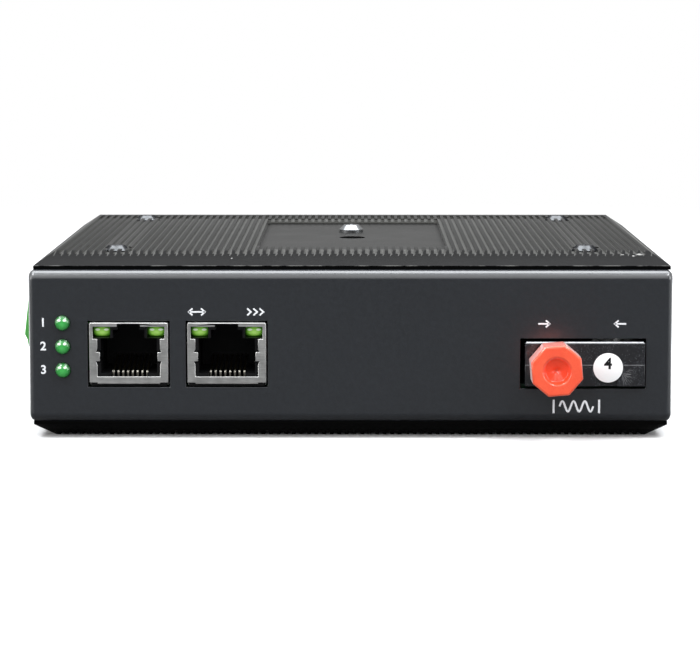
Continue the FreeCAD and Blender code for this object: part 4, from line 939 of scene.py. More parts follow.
@dataclass(frozen=True)
class ClearLens(Finish):
    """Tinted clear resin with painted shade at its rim, a painted lighter heart, two painted glints and painted light
    of its own though it is no lamp.
    """

    rim_shade_tone: Colour = (0.01, 0.12, 0.02)
    tone: Colour = (0.05, 0.33, 0.07)
    lit_heart_tone: Colour = (0.2, 0.5, 0.15)
    painted_glint_tone: Colour = (0.92, 0.98, 0.90)
    roughness: float = 0.08
    painted_glow: float = 0.0
    middle: Pair = (0.0, 0.0)
    half_size: Pair = (1.5, 1.5)
    folds: Pair = (0.0, 0.0)
    pitch: float = 100.0
    lit_heart_drop: float = 0.2
    painted_glint_place: Pair = (0.46, 0.44)
    painted_glint_size: Pair = (0.26, 0.20)
    painted_glint_share: float = 0.8

    def paint(self, shading: Shading) -> Material:
        """Painted shade at the rim, a painted lighter heart, two painted glints and painted emission, under a clear
        skin.

        Args:
            shading: The material's empty graph.

        Returns:
            The finished material.
        """
        across, upward = self.centred(shading)
        # Painted shade darkens the rim, and painted light brightens a heart a little below the middle.
        rim = shading.distance(across, upward).above(0.62, 1.0)
        heart = shading.distance(across, upward + self.lit_heart_drop).below(0.0, 0.75)
        colour = shading.blend(rim, self.tone, self.rim_shade_tone)
        colour = shading.blend(heart, colour, self.lit_heart_tone)
        # Painted glints: two white spots at the upper left and upper right of each lens.
        beside, over = (
            ((place - middle) / size) ** 2.0
            for place, middle, size in zip((across, upward), self.painted_glint_place, self.painted_glint_size)
        )
        colour = shading.blend((beside + over).below(0.3, 1.1) * self.painted_glint_share, colour, self.painted_glint_tone)
        skin = shading.noise(0.9, 1.0)
        return shading.surface(
            Base_Color=colour,
            Emission_Color=colour,
            # Painted light: the lens emits light of its own colour though it is no lamp.
            Emission_Strength=self.painted_glow,
            Roughness=self.roughness + skin * 0.03,
            Subsurface_Weight=0.2,
            Subsurface_Radius=(0.3, 1.0, 0.3),
            Subsurface_Scale=0.4 * MM,
            Coat_Weight=1.0,
            Coat_Roughness=0.04,
            Normal=shading.bump(skin, 0.004, 0.3),
        )

    def centred(self, shading: Shading) -> tuple[Value, Value]:
        """Place on the nearest lens of the row.

        Args:
            shading: The material's graph.

        Returns:
            Distance across and up from the lens's middle, as shares of its half width and half height.
        """
        across = abs(abs(abs(shading.x - self.middle[0]) - self.folds[0]) - self.folds[1])
        upward = (shading.z - self.middle[1]).nearest(self.pitch)
        return across / self.half_size[0], upward / self.half_size[1]


@dataclass(frozen=True)
class Ink(Finish):
    """Screen-printed ink, a little uneven at its edges."""

    slot: str = "panel_coat"
    tone: Colour = (0.88, 0.90, 0.93)
    thin_tone: Colour = (0.66, 0.68, 0.71)
    roughness: float = 0.55
    grain: float = 0.18

    def paint(self, shading: Shading) -> Material:
        """Ink that is thin in places.

        Args:
            shading: The material's empty graph.

        Returns:
            The finished material.
        """
        thin = shading.noise(self.grain).above(0.52, 0.75)
        return shading.surface(
            Base_Color=shading.blend(thin, self.tone, self.thin_tone),
            Roughness=self.roughness + thin * 0.1,
            Specular_IOR_Level=0.3,
            Normal=shading.bump(thin, -0.01, 0.4),
        )


BLACK_PLASTIC = Moulded("black_plastic", (0.0035, 0.0035, 0.004), (0.006, 0.006, 0.0065), specular=0.25)
SMALL_STEEL = PlainMetal("bright_steel", (0.74, 0.74, 0.73), 0.22)


# ---------------------------------------------------------------- shared workshop
class Body(Enum):
    """Moving groups of the frame that added pieces ride on."""

    CHASSIS = "chassis"
    CAP = "cap"
    PLUG = "plug"


@dataclass
class Workshop:
    """What each sub-assembly works with."""

    frame: dict[str, Any]
    materials: dict[Finish, Material] = field(default_factory=dict)
    weld: float = 0.0005
    flat_angle: float = 0.01
    rounding_steps: int = 2

    def material(self, finish: Finish) -> Material:
        """The material of a finish, made once.

        Args:
            finish: The finish.

        Returns:
            Its material.
        """
        if finish not in self.materials:
            self.materials[finish] = finish.paint(Shading(finish.slot))
        return self.materials[finish]

    def dress(self, finish: Finish, *nodes: str) -> None:
        """Give carried-over pieces a finish.

        Args:
            finish: The finish.
            nodes: Names of the frame's pieces.
        """
        for name in nodes:
            for slot in self.frame["nodes"][name].material_slots:
                slot.material = self.material(finish)
            LOG.info("dressed %s in %s", name, finish.slot)

    def soften(self, finish: Finish, body: Body, width: float, *nodes: str, clamp: bool = True) -> None:
        """Stand in for frame pieces with copies whose edges are rounded.

        Args:
            finish: The finish of the copies.
            body: What they move with.
            width: Width of the rounding, in millimetres.
            nodes: Names of the frame's pieces.
            clamp: Whether short edges narrow the rounding everywhere.
        """
        for name in nodes:
            work = bmesh.new()
            work.from_mesh(self.frame["nodes"][name].data)
            bmesh.ops.remove_doubles(work, verts=work.verts, dist=self.weld * MM)
            bmesh.ops.dissolve_limit(work, angle_limit=self.flat_angle, verts=work.verts, edges=work.edges)
            piece = mesh_piece(name + "_soft", work, self.material(finish))
            bevel = piece.modifiers.new("edges", "BEVEL")
            bevel.width = width * MM
            bevel.segments = self.rounding_steps
            bevel.limit_method = "ANGLE"
            bevel.angle_limit = SHARP_ANGLE
            bevel.use_clamp_overlap = clamp
            smoothed(piece)
            piece.modifiers.new("flats", "WEIGHTED_NORMAL").keep_sharp = True
            applied(piece)
            self.settle(piece, body, finish.slot, name)

    def settle(self, piece: Object, body: Body, slot: str, *replaced: str) -> None:
        """Make an added piece ride on its body.

        Args:
            piece: The finished piece.
            body: What it moves with.
            slot: The record's material slot that it is finished in; not used.
            replaced: Frame pieces that it stands for.
        """
        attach(piece, body.value)
        if replaced:
            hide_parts(*replaced)
        LOG.info("added %s on %s, %d faces", piece.name, body.value, len(piece.data.polygons))


Wearing = tuple[tuple[Finish, tuple[str, ...]], ...]


@dataclass
class Assembly:
    """A group of pieces that is built and dressed together."""

    wearing: Wearing = ()

    def build(self, shop: Workshop) -> None:
        """Give each frame piece of the group its finish.

        Args:
            shop: Keeper of finishes and pieces.
        """
        for finish, nodes in self.wearing:
            shop.dress(finish, *nodes)


# ---------------------------------------------------------------- sub-assemblies
@dataclass
class RibbedCover:
    """Cast cover: fine ribs inside a sloped border, a smooth pocket, spot faces and a locating skirt."""

    name: str
    node: str
    upward: bool
    spotface_depth: float
    aside: float = 0.0
    half_width: float = 67.15
    front: float = 2.0
    rear: float = 105.25
    lip: float = 0.8
    rise: float = 3.65
    setback: float = 4.3
    corner: float = 1.5
    pitch: float = 1.62
    rib_top: float = 0.62
    rib_margin: float = 0.9
    rib_end: float = 3.0
    valley: float = 0.16
    groove_depth: float = 1.0
    groove_samples: int = 13
    groove_edge: float = 0.999
    groove_over: float = 0.2
    pocket_half: float = 20.5
    pocket_front: float = 16.5
    pocket_back: float = 88.5
    pocket_depth: float = 1.3
    pocket_corner: float = 1.2
    wells: tuple[Triple, ...] = ((52.0, 2.95, 0.75), (66.0, 1.7, 0.75))
    spotface: float = 3.0
    screw_x: float = 50.2
    screw_rows: Pair = (13.0, 92.5)
    hole: float = 1.7
    drill_length: float = 12.0
    tool_height: float = 4.0
    hole_sides: int = 20
    pocket_sides: int = 24
    corner_sides: int = 32
    well_sides: int = 40
    spotface_sides: int = 48
    skirt_half: float = 60.45
    skirt_front: float = 18.35
    skirt_back: float = 87.65
    skirt_height: float = 2.0
    skirt_wall: float = 1.2
    skirt_lap: float = 0.05
    inputs: tuple[str, ...] = (
        "half_width", "front", "rear", "lip", "rise", "setback", "corner", "rib_top", "valley", "groove_depth",
        "rib_end", "pocket_depth", "spotface", "spotface_depth",
    )

    def build(self, shop: Workshop, coat: CoverCoat) -> None:
        """Make the cover from its rule and put it in its node's place.

        Args:
            shop: Keeper of finishes and pieces.
            coat: The cover's finish, which is told where the ribs are.
        """
        shape = Shape(self.name)
        mm = {name: shape.size(name, getattr(self, name) * MM) for name in self.inputs}
        span = 2.0 * (self.half_width - self.setback) - self.rib_margin
        count = round(span / self.pitch)
        pitch = span / count
        tools = self.groove_tools(shape, mm, shape.size("grooves", count), shape.size("pitch", pitch * MM))
        body = shape.cut(shape.cut(self.hipped(shape, mm), tools), self.machining(shape, mm))
        body = shape.together(body, self.skirt(shape))
        low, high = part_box(self.node)
        facing, crown = (1.0, high.z) if self.upward else (-1.0, low.z)
        if not self.upward:
            body = shape.moved(body, ORIGIN, scale=(1.0, 1.0, facing))
            body = shape.add("GeometryNodeFlipFaces", {"Mesh": body})["Mesh"]
        middle = (low.x + high.x) / 2.0 + self.aside * MM
        body = shape.moved(body, (middle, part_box("body_frame")[0].y, crown - self.rise * MM * facing))
        half_mouth = (pitch - self.rib_top) / 2.0
        finish = replace(
            coat,
            rib_middle=middle / MM,
            rib_pitch=pitch,
            half_mouth=half_mouth,
            mouth_taper=(half_mouth - self.valley / 2.0) / self.groove_depth,
            groove_depth=self.groove_depth,
            crown=crown / MM,
            facing=facing,
            slope_run=self.setback / (self.rise - self.lip),
        )
        shop.settle(shape.bake(body, shop.material(finish)), Body.CHASSIS, finish.slot, self.node)

    def hipped(self, shape: Shape, mm: Mapping[str, Value]) -> Value:
        """Plain casting: upright lip, four slopes and a flat top.

        Args:
            shape: The cover's tree.
            mm: Its named inputs.

        Returns:
            The casting before it is cut.
        """
        half, front, rear, corner, lip = (mm[name] for name in ("half_width", "front", "rear", "corner", "lip"))
        setback, sides = mm["setback"], self.corner_sides
        plate = shape.block((-half, front, 0.0), (half, rear - corner, lip))
        corners = [
            shape.rod(corner, lip, shape.joined((half - corner) * side, rear - corner, lip * 0.5), sides)
            for side in SIDES
        ]
        flat = half - setback
        crown = shape.block((-flat, front + setback, mm["rise"] * 0.5), (flat, rear - setback, mm["rise"]))
        return shape.hull(plate, *corners, crown)

    def groove_tools(self, shape: Shape, mm: Mapping[str, Value], count: Value, pitch: Value) -> Value:
        """Row of bell-shaped cutters whose walls run smoothly into rib and valley.

        Args:
            shape: The cover's tree.
            mm: Its named inputs.
            count: Number of grooves.
            pitch: Distance between them.

        Returns:
            The cutters.
        """
        points, rise = self.groove_samples, mm["rise"]
        across = shape.index() / float(points - 1) * 2.0 - 1.0
        half_mouth = (pitch - mm["rib_top"]) * 0.5
        wall = (abs(across) * half_mouth).above(mm["valley"] * 0.5, half_mouth)
        at_ends = shape.math("GREATER_THAN", abs(across), self.groove_edge)
        height = (wall - 1.0) * mm["groove_depth"] + at_ends * rise * self.groove_over
        profile = shape.outlined(points, shape.joined(across * half_mouth, height, 0.0), True)
        end = mm["rear"] - mm["setback"] - mm["rib_end"]
        path = shape.straight(shape.joined(0.0, mm["front"] - rise, rise), shape.joined(0.0, end, rise))
        start = shape.joined((count - 1.0) * pitch * -0.5, 0.0, 0.0)
        cutters = shape.placed_on(shape.row(count, start, shape.joined(pitch, 0.0, 0.0)), shape.swept(path, profile))
        return shape.add("GeometryNodeRealizeInstances", {"Geometry": cutters})[0]

    def machining(self, shape: Shape, mm: Mapping[str, Value]) -> Value:
        """Pocket, spot faces and screw holes.

        Args:
            shape: The cover's tree.
            mm: Its named inputs.

        Returns:
            What is cut away for them.
        """
        def bored(radius: Number, x: float, y: float, floor: Value, sides: int) -> Value:
            """Upright cutter with its lower end on a floor."""
            middle = shape.joined(x * MM, y * MM, floor + self.tool_height * MM / 2.0)
            return shape.rod(radius, self.tool_height * MM, middle, sides)

        def drilled(x: float, y: float) -> Value:
            """Cutter of one screw hole."""
            return shape.rod(self.hole * MM, self.drill_length * MM, (x * MM, y * MM, 0.0), self.hole_sides)

        floor, corner = mm["rise"] - mm["pocket_depth"], self.pocket_corner
        parts = [shape.hull(*(
            bored(corner * MM, side * (self.pocket_half - corner), y, floor, self.pocket_sides)
            for side in SIDES for y in (self.pocket_front + corner, self.pocket_back - corner)
        ))]
        for x, y in ((side * self.screw_x, y) for side in SIDES for y in self.screw_rows):
            seat = mm["rise"] - mm["spotface_depth"]
            parts += [bored(mm["spotface"], x, y, seat, self.spotface_sides), drilled(x, y)]
        for y, radius, drop in self.wells if self.upward else ():
            parts += [bored(radius * MM, 0.0, y, floor - drop * MM, self.well_sides), drilled(0.0, y)]
        return shape.together(*parts)

    def skirt(self, shape: Shape) -> Value:
        """Locating skirt under the cover, four walls that lap at the corners.

        Args:
            shape: The cover's tree.

        Returns:
            The skirt.
        """
        half, wall, drop = self.skirt_half * MM, self.skirt_wall * MM, -self.skirt_height * MM
        front, back, top = self.skirt_front * MM, self.skirt_back * MM, self.skirt_lap * MM
        near, far = front + wall * 0.5, back - wall * 0.5
        walls = (
            ((-half, front, drop), (half, front + wall, top)),
            ((-half, back - wall, drop), (half, back, top)),
            ((-half, near, drop), (wall - half, far, top)),
            ((half - wall, near, drop), (half, far, top)),
        )
        return shape.together(*(shape.block(low, high) for low, high in walls))


@dataclass
class Enclosure(Assembly):
    """Folded frame, rear panel, ribbed covers and their screws."""

    wearing: Wearing = (
        (
            PlainMetal("bright_steel", (0.13, 0.134, 0.138), 0.24, grazing_tint=(0.22, 0.22, 0.23)),
            ("cover_screws", "rear_panel_screws", "cover_nuts"),
        ),
        (
            PlainMetal("bright_steel", (0.40, 0.41, 0.42), 0.28, grazing_tint=(0.5, 0.5, 0.5)),
            ("spreader_screws",),
        ),
    )
    coat: Finish = PowderCoat()
    rounding: float = 0.08
    cover: CoverCoat = CoverCoat()
    covers: tuple[RibbedCover, ...] = (
        RibbedCover("ribbed_top_cover", "top_cover", True, 1.2, aside=0.3),
        RibbedCover("ribbed_bottom_cover", "bottom_cover", False, 2.3),
    )

    def build(self, shop: Workshop) -> None:
        """Round the folded sheet, make the covers and dress the screws.

        Args:
            shop: Keeper of finishes and pieces.
        """
        shop.soften(self.coat, Body.CHASSIS, self.rounding, "body_frame", "rear_panel")
        for cover in self.covers:
            cover.build(shop, self.cover)
        super().build(shop)


class Mark(Enum):
    """Generic marks printed on the port panel."""

    ONE = "1"
    TWO = "2"
    THREE = "3"
    BOTH_WAYS = "arrow both ways"
    OUTWARD = "arrow out"
    INWARD = "arrow in"
    CHEVRONS = "chevrons"


@dataclass
class PanelPrint(Assembly):
    """Numerals beside the lamps and plain symbols over the ports."""

    ink: Finish = Ink()
    middle: Vector = field(default_factory=Vector)
    film: float = 0.02
    numeral_height: float = 1.75
    height_share: float = 0.69
    boldness: float = 0.06
    symbol_height: float = 1.45
    tip_share: float = 0.55
    long_shaft: float = 1.7
    short_shaft: float = 1.2
    chevron_gap: float = 1.3
    stroke: float = 0.33
    sharpest: float = 0.3
    places: tuple[tuple[Mark, float, float], ...] = (
        (Mark.ONE, -64.7, 5.0),
        (Mark.TWO, -64.7, 0.0),
        (Mark.THREE, -64.7, -5.0),
        (Mark.BOTH_WAYS, -32.3, 7.35),
        (Mark.CHEVRONS, -20.0, 7.35),
        (Mark.OUTWARD, 40.7, 4.85),
        (Mark.INWARD, 56.8, 4.85),
    )
    wave_middle: Pair = (47.7, -12.7)
    wave_length: float = 9.6
    wave_height: float = 1.1
    wave_turns: float = 3.0
    wave_samples: int = 97
    wave_boldness: float = 1.25
    bar_gap: float = 6.0
    bar_height: float = 2.6

    def build(self, shop: Workshop) -> None:
        """Print every mark on the panel's face.

        Args:
            shop: Keeper of finishes and pieces.
        """
        self.middle = middle_of("body_frame")
        self.middle.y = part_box("body_frame")[0].y
        material = shop.material(self.ink)
        for mark, x, z in self.places:
            name = "print_" + mark.name.lower()
            piece = self.numeral(name, mark.value) if mark.value.isdigit() else self.symbol(name, mark)
            self.lay(piece, material, x, z)
            shop.settle(piece, Body.CHASSIS, self.ink.slot)
        shop.settle(self.wave(material), Body.CHASSIS, self.ink.slot)

    def lay(self, piece: Object, material: Material, x: float, z: float) -> None:
        """Print a flat mark, drawn in millimetres on the ground plane, on the upright panel.

        Args:
            piece: The mark.
            material: Its ink.
            x: How far right of the panel's middle it stands, in millimetres.
            z: How far above the middle.
        """
        stand = Matrix(((MM, 0, 0, 0), (0, 0, -MM, 0), (0, MM, 0, 0), (0, 0, 0, 1)))
        place = self.middle + Vector((x, 0.0, z)) * MM
        piece.data.transform(Matrix.Translation(place) @ stand)
        piece.data.materials.clear()
        piece.data.materials.append(material)

    def numeral(self, name: str, text: str) -> Object:
        """A numeral as a thin mesh.

        Args:
            name: Name of the piece.
            text: The numeral.

        Returns:
            The numeral, centred on its own middle.
        """
        curve = bpy.data.curves.new(name, "FONT")
        curve.body = text
        curve.size = self.numeral_height / self.height_share
        curve.extrude = self.film
        curve.offset = self.boldness
        curve.align_x, curve.align_y = "CENTER", "CENTER"
        maker = linked(name, curve)
        mesh = final_mesh(maker)
        bpy.data.objects.remove(maker)
        return linked(name, mesh)

    def symbol(self, name: str, mark: Mark) -> Object:
        """A symbol of straight strokes as a thin mesh.

        Args:
            name: Name of the piece.
            mark: Which symbol.

        Returns:
            The symbol, centred on its own middle.
        """
        half, tip = self.symbol_height / 2.0, self.symbol_height * self.tip_share
        long, short = self.long_shaft, self.short_shaft
        shaft, heads = {
            Mark.BOTH_WAYS: (long, ((-long, -1.0), (long, 1.0))),
            Mark.CHEVRONS: (0.0, [(i * self.chevron_gap + tip / 2.0, 1.0) for i in (-1, 0, 1)]),
            Mark.OUTWARD: (short, ((short, 1.0),)),
            Mark.INWARD: (short, ((-short, -1.0),)),
        }[mark]
        work = bmesh.new()
        if shaft:
            self.strokes(work, ((-shaft, 0.0), (shaft, 0.0)))
        for x, way in heads:
            self.strokes(work, ((x - tip * way, half), (x, 0.0), (x - tip * way, -half)))
        return mesh_piece(name, work)

    def strokes(self, work: WorkMesh, line: Sequence[Pair]) -> None:
        """Add a mitred stroke of even width.

        Args:
            work: The mesh that it is added to.
            line: The points that it runs through.
        """
        points = [Vector(point) for point in line]
        runs = [(after - before).normalized() for before, after in zip(points, points[1:])]
        rings = []
        for point, before, after in zip(points, runs[:1] + runs, runs + runs[-1:]):
            run = (before + after).normalized()
            across = Vector((-run.y, run.x))
            stretch = 1.0 / max(self.sharpest, abs(across.dot(Vector((-before.y, before.x)))))
            shift = across * self.stroke / 2.0 * stretch
            left, right = point + shift, point - shift
            rings.append([Vector((*left, -self.film)), Vector((*left, self.film)),
                          Vector((*right, self.film)), Vector((*right, -self.film))])
        loft(work, rings)

    def wave(self, material: Material) -> Object:
        """Light-wave symbol: a printed line that follows a sine, between two upright bars.

        Args:
            material: Its ink.

        Returns:
            The symbol, in its place on the panel.
        """
        shape = Shape("print_wave")
        length = shape.size("length", self.wave_length * MM)
        height = shape.size("height", self.wave_height * MM)
        stroke = shape.size("stroke", self.stroke * self.wave_boldness * MM)
        film = shape.size("film", self.film * MM)
        turns = shape.size("turns", self.wave_turns)
        share = shape.index() / float(self.wave_samples - 1)
        swing = shape.math("SINE", share * turns * (2.0 * math.pi))
        place = shape.joined((share - 0.5) * (length - stroke * self.bar_gap), 0.0, swing * height)
        path = shape.outlined(self.wave_samples, place, False)
        flat = {"Width": film * 2.0, "Height": stroke}
        profile = shape.add("GeometryNodeCurvePrimitiveQuadrilateral", flat, mode="RECTANGLE")["Curve"]
        held = shape.add("GeometryNodeSetCurveNormal", {"Curve": path, "Normal": (0, -1, 0)}, mode="FREE")[0]
        size = {"Size": shape.joined(stroke, film * 2.0, height * self.bar_height)}
        bar = shape.add("GeometryNodeMeshCube", size)["Mesh"]
        bars = [shape.moved(bar, shape.joined(length * side * 0.5, 0.0, 0.0)) for side in SIDES]
        x, z = self.wave_middle
        printed = shape.together(shape.swept(held, profile), *bars)
        return shape.bake(shape.moved(printed, tuple(self.middle + Vector((x, 0.0, z)) * MM)), material)


@dataclass
class CopperPorts(Assembly):
    """Two shielded modular jacks."""

    wearing: Wearing = (
        (BLACK_PLASTIC, ("jack_body_1", "jack_body_2")),
        (SprungContact(), ("jack_contacts_1", "jack_contacts_2")),
    )
    shield: Finish = PlainMetal("jack_tin", (0.80, 0.80, 0.785), 0.36, 0.8, 0.02, 0.87)
    rounding: float = 0.11
    # Light pipes with painted shade at the rim, a painted lighter heart, two painted glints and painted light of
    # their own though they are no lamps.
    lamps: ClearLens = ClearLens(
        "lamp_lens", (0.06, 0.22, 0.012), (0.27, 0.60, 0.08), (0.46, 0.82, 0.18), painted_glow=0.36,
        painted_glint_place=(0.52, 0.34), painted_glint_size=(0.34, 0.24), painted_glint_share=0.75,
    )
    lamp_width: float = 3.55
    lamp_crown: float = 0.75
    lamp_length: float = 14.0
    lamp_roundness: float = 0.62
    lamp_sides: int = 56
    lamp_sharp: float = 0.9
    dome_turns: tuple[int, ...] = tuple(range(8, 91, 9))

    def build(self, shop: Workshop) -> None:
        """Round the shields, make the light pipes and dress the rest.

        Args:
            shop: Keeper of finishes and pieces.
        """
        super().build(shop)
        nodes = ("jack_lamps_1", "jack_lamps_2")
        centres = [middle_of(node) / MM for node in nodes]
        for number, node in enumerate(nodes, 1):
            shop.soften(self.shield, Body.CHASSIS, self.rounding, f"jack_shield_{number}", clamp=False)
            low, high = (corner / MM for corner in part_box(node))
            half = Vector((self.lamp_width, 0.0, high.z - low.z)) / 2.0
            work = bmesh.new()
            for left in (low.x, high.x - self.lamp_width):
                front = Vector((left + half.x, low.y, (low.z + high.z) / 2.0))
                loft(work, [self.ring(front, half, depth, inset) for depth, inset in self.dome(half.z)])
            lens = replace(
                self.lamps,
                middle=((centres[0].x + centres[1].x) / 2.0, centres[0].z),
                half_size=(half.x, half.z),
                folds=((centres[1].x - centres[0].x) / 2.0, (high.x - low.x) / 2.0 - half.x),
            )
            piece = mesh_piece(f"jack_pillows_{number}", work, shop.material(lens))
            smoothed(piece, self.lamp_sharp)
            shop.settle(piece, Body.CHASSIS, self.lamps.slot, node)

    def dome(self, half_height: float) -> list[Pair]:
        """Profile of a light pipe's front.

        Args:
            half_height: Half the light pipe's height, in millimetres.

        Returns:
            Depth behind the front and distance inside the outline of each ring, in millimetres.
        """
        turns = [math.radians(degrees) for degrees in self.dome_turns]
        dome = [(self.lamp_crown * (1.0 - math.cos(a)), half_height * (1.0 - math.sin(a))) for a in turns]
        return [*dome, (self.lamp_length, 0.0)]

    def ring(self, front: Vector, half: Vector, depth: float, inset: float) -> list[Vector]:
        """Rounded rectangle.

        Args:
            front: Middle of the light pipe's front, in millimetres.
            half: Half its width and height.
            depth: How far behind the front the ring is.
            inset: How far it is drawn in.

        Returns:
            Its points, in metres.
        """
        points = []
        for angle in circle(self.lamp_sides):
            across, upward = (
                math.copysign(abs(part) ** self.lamp_roundness, part) for part in (math.cos(angle), math.sin(angle))
            )
            shift = Vector(((half.x - inset) * across, depth, (half.z - inset) * upward))
            points.append((front + shift) * MM)
        return points


@dataclass
class StatusLamps(Assembly):
    """Three lamps and their holder."""

    wearing: Wearing = ((BLACK_PLASTIC, ("lamp_holder",)),)
    # Lamp domes with painted shade at the rim, a painted lighter heart, two painted glints and a faint painted
    # emission.
    lens: ClearLens = ClearLens(
        "green_lens", (0.006, 0.07, 0.012), (0.030, 0.28, 0.052), (0.062, 0.42, 0.09), painted_glow=0.08,
        painted_glint_place=(0.36, 0.42), painted_glint_size=(0.26, 0.19), painted_glint_share=0.8,
    )
    count: int = 3
    pitch: float = 5.0
    crown: float = 1.2
    flare: float = 1.09
    stem_share: float = 0.995
    sides: int = 48

    def build(self, shop: Workshop) -> None:
        """Make the row of domed lamps and dress their holder.

        Args:
            shop: Keeper of finishes and pieces.
        """
        super().build(shop)
        low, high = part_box("status_lamps")
        middle, half = middle_of("status_lamps"), (high.x - low.x) / 2.0
        shape = Shape("status_domes")
        radius = shape.size("radius", half)
        crown = shape.size("crown", self.crown * MM)
        pitch = shape.size("pitch", self.pitch * MM)
        sockets = {"Segments": self.sides, "Rings": self.sides // 2, "Radius": 1.0}
        ball = shape.add("GeometryNodeMeshUVSphere", sockets)["Mesh"]
        wide = radius * self.flare
        ball = shape.moved(ball, ORIGIN, scale=shape.joined(wide, crown, wide))
        back = high.y - low.y - self.crown * MM
        stem = shape.rod(radius * self.stem_share, back, ORIGIN, self.sides)
        stem = shape.moved(stem, (0.0, back / 2.0, 0.0), (math.pi / 2.0, 0.0, 0.0))
        start = (middle.x, low.y + self.crown * MM, low.z + half)
        row = shape.row(self.count, start, shape.joined(0.0, 0.0, pitch))
        lens = replace(
            self.lens,
            middle=(middle.x / MM, middle.z / MM),
            half_size=(half / MM * self.flare,) * 2,
            pitch=self.pitch,
        )
        piece = shape.bake(shape.placed_on(row, shape.together(ball, stem)), shop.material(lens))
        shop.settle(piece, Body.CHASSIS, self.lens.slot, "status_lamps")


@dataclass
class FibrePort(Assembly):
    """Optical transceiver, its barrel, the dust cap and a round paper label with a numeral."""

    wearing: Wearing = (
        (PlainMetal("plated_brass", (0.72, 0.70, 0.64), 0.2), ("fibre_barrel", "transceiver_pins")),
        (Moulded("ceramic_white", (0.80, 0.79, 0.75), (0.85, 0.84, 0.80), 0.15, 0.6, 0.004), ("ferrule_sleeve",)),
    )
    shell: HandledCase = HandledCase(
        "black_plastic", (0.0075, 0.008, 0.0105), (0.013, 0.0138, 0.0168), 0.4, specular=0.35, gloss=1.0,
        gloss_index=1.7,
    )
    cap: DishedCap = DishedCap(
        "cap_red", (0.90, 0.085, 0.034), (0.95, 0.118, 0.048), 0.30, 0.4, 0.006, specular=0.5, gloss=0.8, sheen=0.6
    )
    case_rounding: float = 0.20
    cap_rounding: float = 0.16
    paper: Finish = Moulded("ceramic_white", (0.93, 0.94, 0.945), (0.96, 0.96, 0.96), 0.6, 0.3, 0.01, specular=0.2)
    printer: PanelPrint = field(default_factory=lambda: PanelPrint(film=0.012, numeral_height=2.25, boldness=0.09))
    label_ink: Finish = Ink("black_plastic", (0.008, 0.008, 0.009), (0.02, 0.02, 0.021))
    label_place: Pair = (54.2, -4.35)
    label_radius: float = 3.12
    label_profile: tuple[Pair, ...] = ((-0.005, 0.0), (0.05, 0.0), (0.075, 0.05))
    label_sides: int = 72
    numeral: str = "4"
    numeral_lift: float = 0.8
    ink_lift: float = 0.078

    def build(self, shop: Workshop) -> None:
        """Round the case and the cap, stick the label on and dress the rest.

        Args:
            shop: Keeper of finishes and pieces.
        """
        super().build(shop)
        low, high = (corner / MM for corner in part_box("transceiver_hood"))
        shell = replace(self.shell, face=low.y + 0.1, top=high.z, parting=low.z)
        shop.soften(shell, Body.CHASSIS, self.case_rounding, "transceiver_base", "transceiver_hood")
        middle = middle_of("dust_cap") / MM
        cap = replace(self.cap, axis=(middle.x, middle.z), face=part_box("dust_cap")[0].y / MM)
        shop.soften(cap, Body.CAP, self.cap_rounding, "dust_cap")
        place = middle_of("body_frame") + Vector((self.label_place[0], 0.0, self.label_place[1])) * MM
        place.y = low.y * MM
        self.label(shop, place)

    def label(self, shop: Workshop, place: Vector) -> None:
        """Stick a round paper dot with a numeral on the transceiver's face.

        Args:
            shop: Keeper of finishes and pieces.
            place: Middle of the dot, in metres.
        """
        work = bmesh.new()
        loft(work, [
            [
                place + Vector((radius * math.cos(angle), -depth, radius * math.sin(angle))) * MM
                for angle in circle(self.label_sides)
            ]
            for depth, radius in ((depth, self.label_radius - inset) for depth, inset in self.label_profile)
        ])
        dot = mesh_piece("round_label", work, shop.material(self.paper))
        smoothed(dot)
        shop.settle(dot, Body.CHASSIS, self.paper.slot)
        self.printer.middle = place - Vector((0.0, self.ink_lift * MM, 0.0))
        numeral = self.printer.numeral("label_numeral", self.numeral)
        self.printer.lay(numeral, shop.material(self.label_ink), 0.0, self.numeral_lift)
        shop.settle(numeral, Body.CHASSIS, self.label_ink.slot)


@dataclass
class PowerTerminals(Assembly):
    """Pluggable screw terminals on the left side."""

    green: Finish = Moulded("terminal_green", (0.095, 0.46, 0.085), (0.13, 0.54, 0.115), 0.38)
    rounding: float = 0.15
    metal: Finish = PlainMetal("bright_steel", (0.70, 0.70, 0.69), 0.25)

    def build(self, shop: Workshop) -> None:
        """Round the plug and dress the rest.

        Args:
            shop: Keeper of finishes and pieces.
        """
        shop.dress(self.green, "terminal_header")
        shop.soften(self.green, Body.PLUG, self.rounding, "terminal_plug")
        shop.dress(self.metal, "terminal_pins", "terminal_cages", "terminal_screws")


@dataclass
class CircuitBoard(Assembly):
    """The board and what is soldered on it."""

    wearing: Wearing = (
        (Moulded("board_laminate", (0.003, 0.026, 0.012), (0.005, 0.040, 0.018), 0.3, 2.0), ("main_board",)),
        (PlainMetal("bare_aluminium", (0.72, 0.73, 0.74), 0.35, 0.8), ("heat_spreader",)),
        (Moulded("soft_pad", (0.38, 0.46, 0.55), (0.45, 0.52, 0.60), 0.7), ("thermal_pad",)),
        (
            Moulded("chip_resin", (0.022, 0.022, 0.024), (0.035, 0.035, 0.037), 0.55),
            ("switch_chip", "small_chips", "magnetics", "power_inductor"),
        ),
        (Moulded("can_sleeve", (0.02, 0.02, 0.035), (0.03, 0.03, 0.05), 0.25), ("capacitors",)),
        (SMALL_STEEL, ("crystal_can", "board_screws")),
        (PlainMetal("plated_brass", (0.72, 0.70, 0.62), 0.25), ("board_posts",)),
    )


